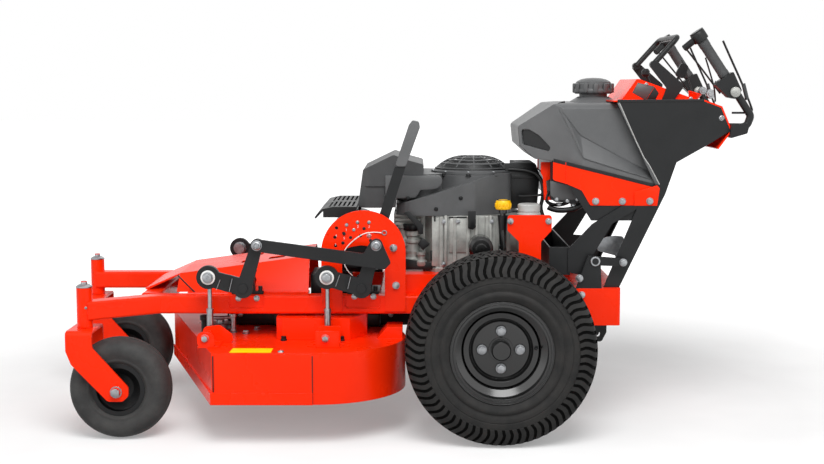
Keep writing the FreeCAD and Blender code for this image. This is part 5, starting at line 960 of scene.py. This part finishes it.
studio = {"floorDark": "#CACACA", "floorPale": "#D0D0D0", "glow": (0.26, 1.0), "glowReach": (1.2, 3.2),
          "world": 0.34, "aim": 0.45,
          # place from the object's middle, size, energy
          "lamps": {"keyLamp": ((0.2, -2.8, 3.0), 2.4, 128), "fillLamp": ((-2.6, -2.4, 1.6), 4.0, 42),
                    "sideLamp": ((2.8, -2.4, 1.4), 4.0, 34), "rearLamp": ((0.6, 2.8, 2.6), 4.0, 22)}}
cameraView = {"place": (-224.7, -3843.2, 958.6), "turn": 0.0036, "tip": 0.1122, "lens": 57.05}


def addFloor():
    bpy.ops.object.select_all(action="DESELECT")
    bpy.ops.mesh.primitive_plane_add(size=60, location=(0, 0, 0))
    floor = bpy.context.object
    floor.name = "studioFloor"
    # matt white paper: it keeps the shadow, and far from the object it glows into the white behind
    material, tree = newMaterial("whitePaperFloor")
    place = node(tree, "TexCoord")
    mottle = node(tree, "TexNoise", {"Scale": 3.0, "Detail": 3.0}, {"Vector": (place, "Object")})
    stops = [(0.3, linear(studio["floorDark"])), (0.7, linear(studio["floorPale"]))]
    tint = node(tree, "ValToRGB", {"stops": stops}, {"Fac": (mottle, "Fac")})
    paper = node(tree, "BsdfDiffuse", {"Roughness": 0.5}, {"Color": (tint, "Color")})
    reach = node(tree, "VectorMath", {"operation": "LENGTH"}, {0: (place, "Object")})
    glow = node(tree, "MapRange", {"From Min": studio["glowReach"][0], "From Max": studio["glowReach"][1],
                                   "To Min": studio["glow"][0], "To Max": studio["glow"][1]},
                {"Value": (reach, "Value")})
    path = node(tree, "LightPath")
    seen = node(tree, "Math", {"operation": "MAXIMUM"},
                {0: (path, "Is Camera Ray"), 1: (path, "Is Glossy Ray")})
    strength = node(tree, "Math", {"operation": "MULTIPLY"}, {0: (glow, "Result"), 1: (seen, "Value")})
    light = node(tree, "Emission", {"Color": (1, 1, 1, 1)}, {"Strength": (strength, "Value")})
    both = node(tree, "AddShader", {}, {0: (paper, "BSDF"), 1: (light, "Emission")})
    node(tree, "OutputMaterial", links={"Surface": (both, "Shader")})
    floor.data.materials.append(material)


def addLamp(name, place, target, size, energy):
    data = bpy.data.lights.new(name, "AREA")
    data.shape = "DISK"
    data.size = size
    data.energy = energy
    lamp = added(name, data)
    lamp.location = place
    lamp.rotation_euler = (target - place).to_track_quat("-Z", "Y").to_euler()


def addWorld():
    world = bpy.data.worlds.new("studioWorld")
    bpy.context.scene.world = world
    world.use_nodes = True
    tree = world.node_tree
    tree.nodes.clear()
    path = node(tree, "LightPath")
    straight = node(tree, "Math", {"operation": "MAXIMUM"},
                    {0: (path, "Is Camera Ray"), 1: (path, "Is Transmission Ray")})
    seen = node(tree, "Math", {"operation": "MAXIMUM"}, {0: (straight, "Value"), 1: (path, "Is Glossy Ray")})
    plain = node(tree, "Background", {"Color": (1, 1, 1, 1), "Strength": studio["world"]})
    white = node(tree, "Background", {"Color": (1, 1, 1, 1), "Strength": 1.0})
    mix = node(tree, "MixShader", {},
               {0: (seen, "Value"), 1: (plain, "Background"), 2: (white, "Background")})
    node(tree, "OutputWorld", links={"Surface": (mix, "Shader")})


def addCamera():
    data = bpy.data.cameras.new("studioCamera")
    data.lens = cameraView["lens"]
    data.sensor_width = 36
    camera = added("studioCamera", data)
    camera.location = at(*cameraView["place"])
    camera.rotation_euler = (math.pi / 2 - cameraView["tip"], 0, cameraView["turn"])
    bpy.context.scene.camera = camera


bpy.data.objects.remove(hexBolt)
bpy.data.objects.remove(domeBolt)
addFloor()
middle = Vector(((cadBounds[0].x + cadBounds[1].x) / 2, 0, studio["aim"]))
for name, (offset, size, energy) in studio["lamps"].items():
    addLamp(name, middle + Vector(offset), middle, size, energy)
addWorld()
addCamera()
bpy.context.scene.view_settings.view_transform = "Standard"
print("floor, lamps and camera")
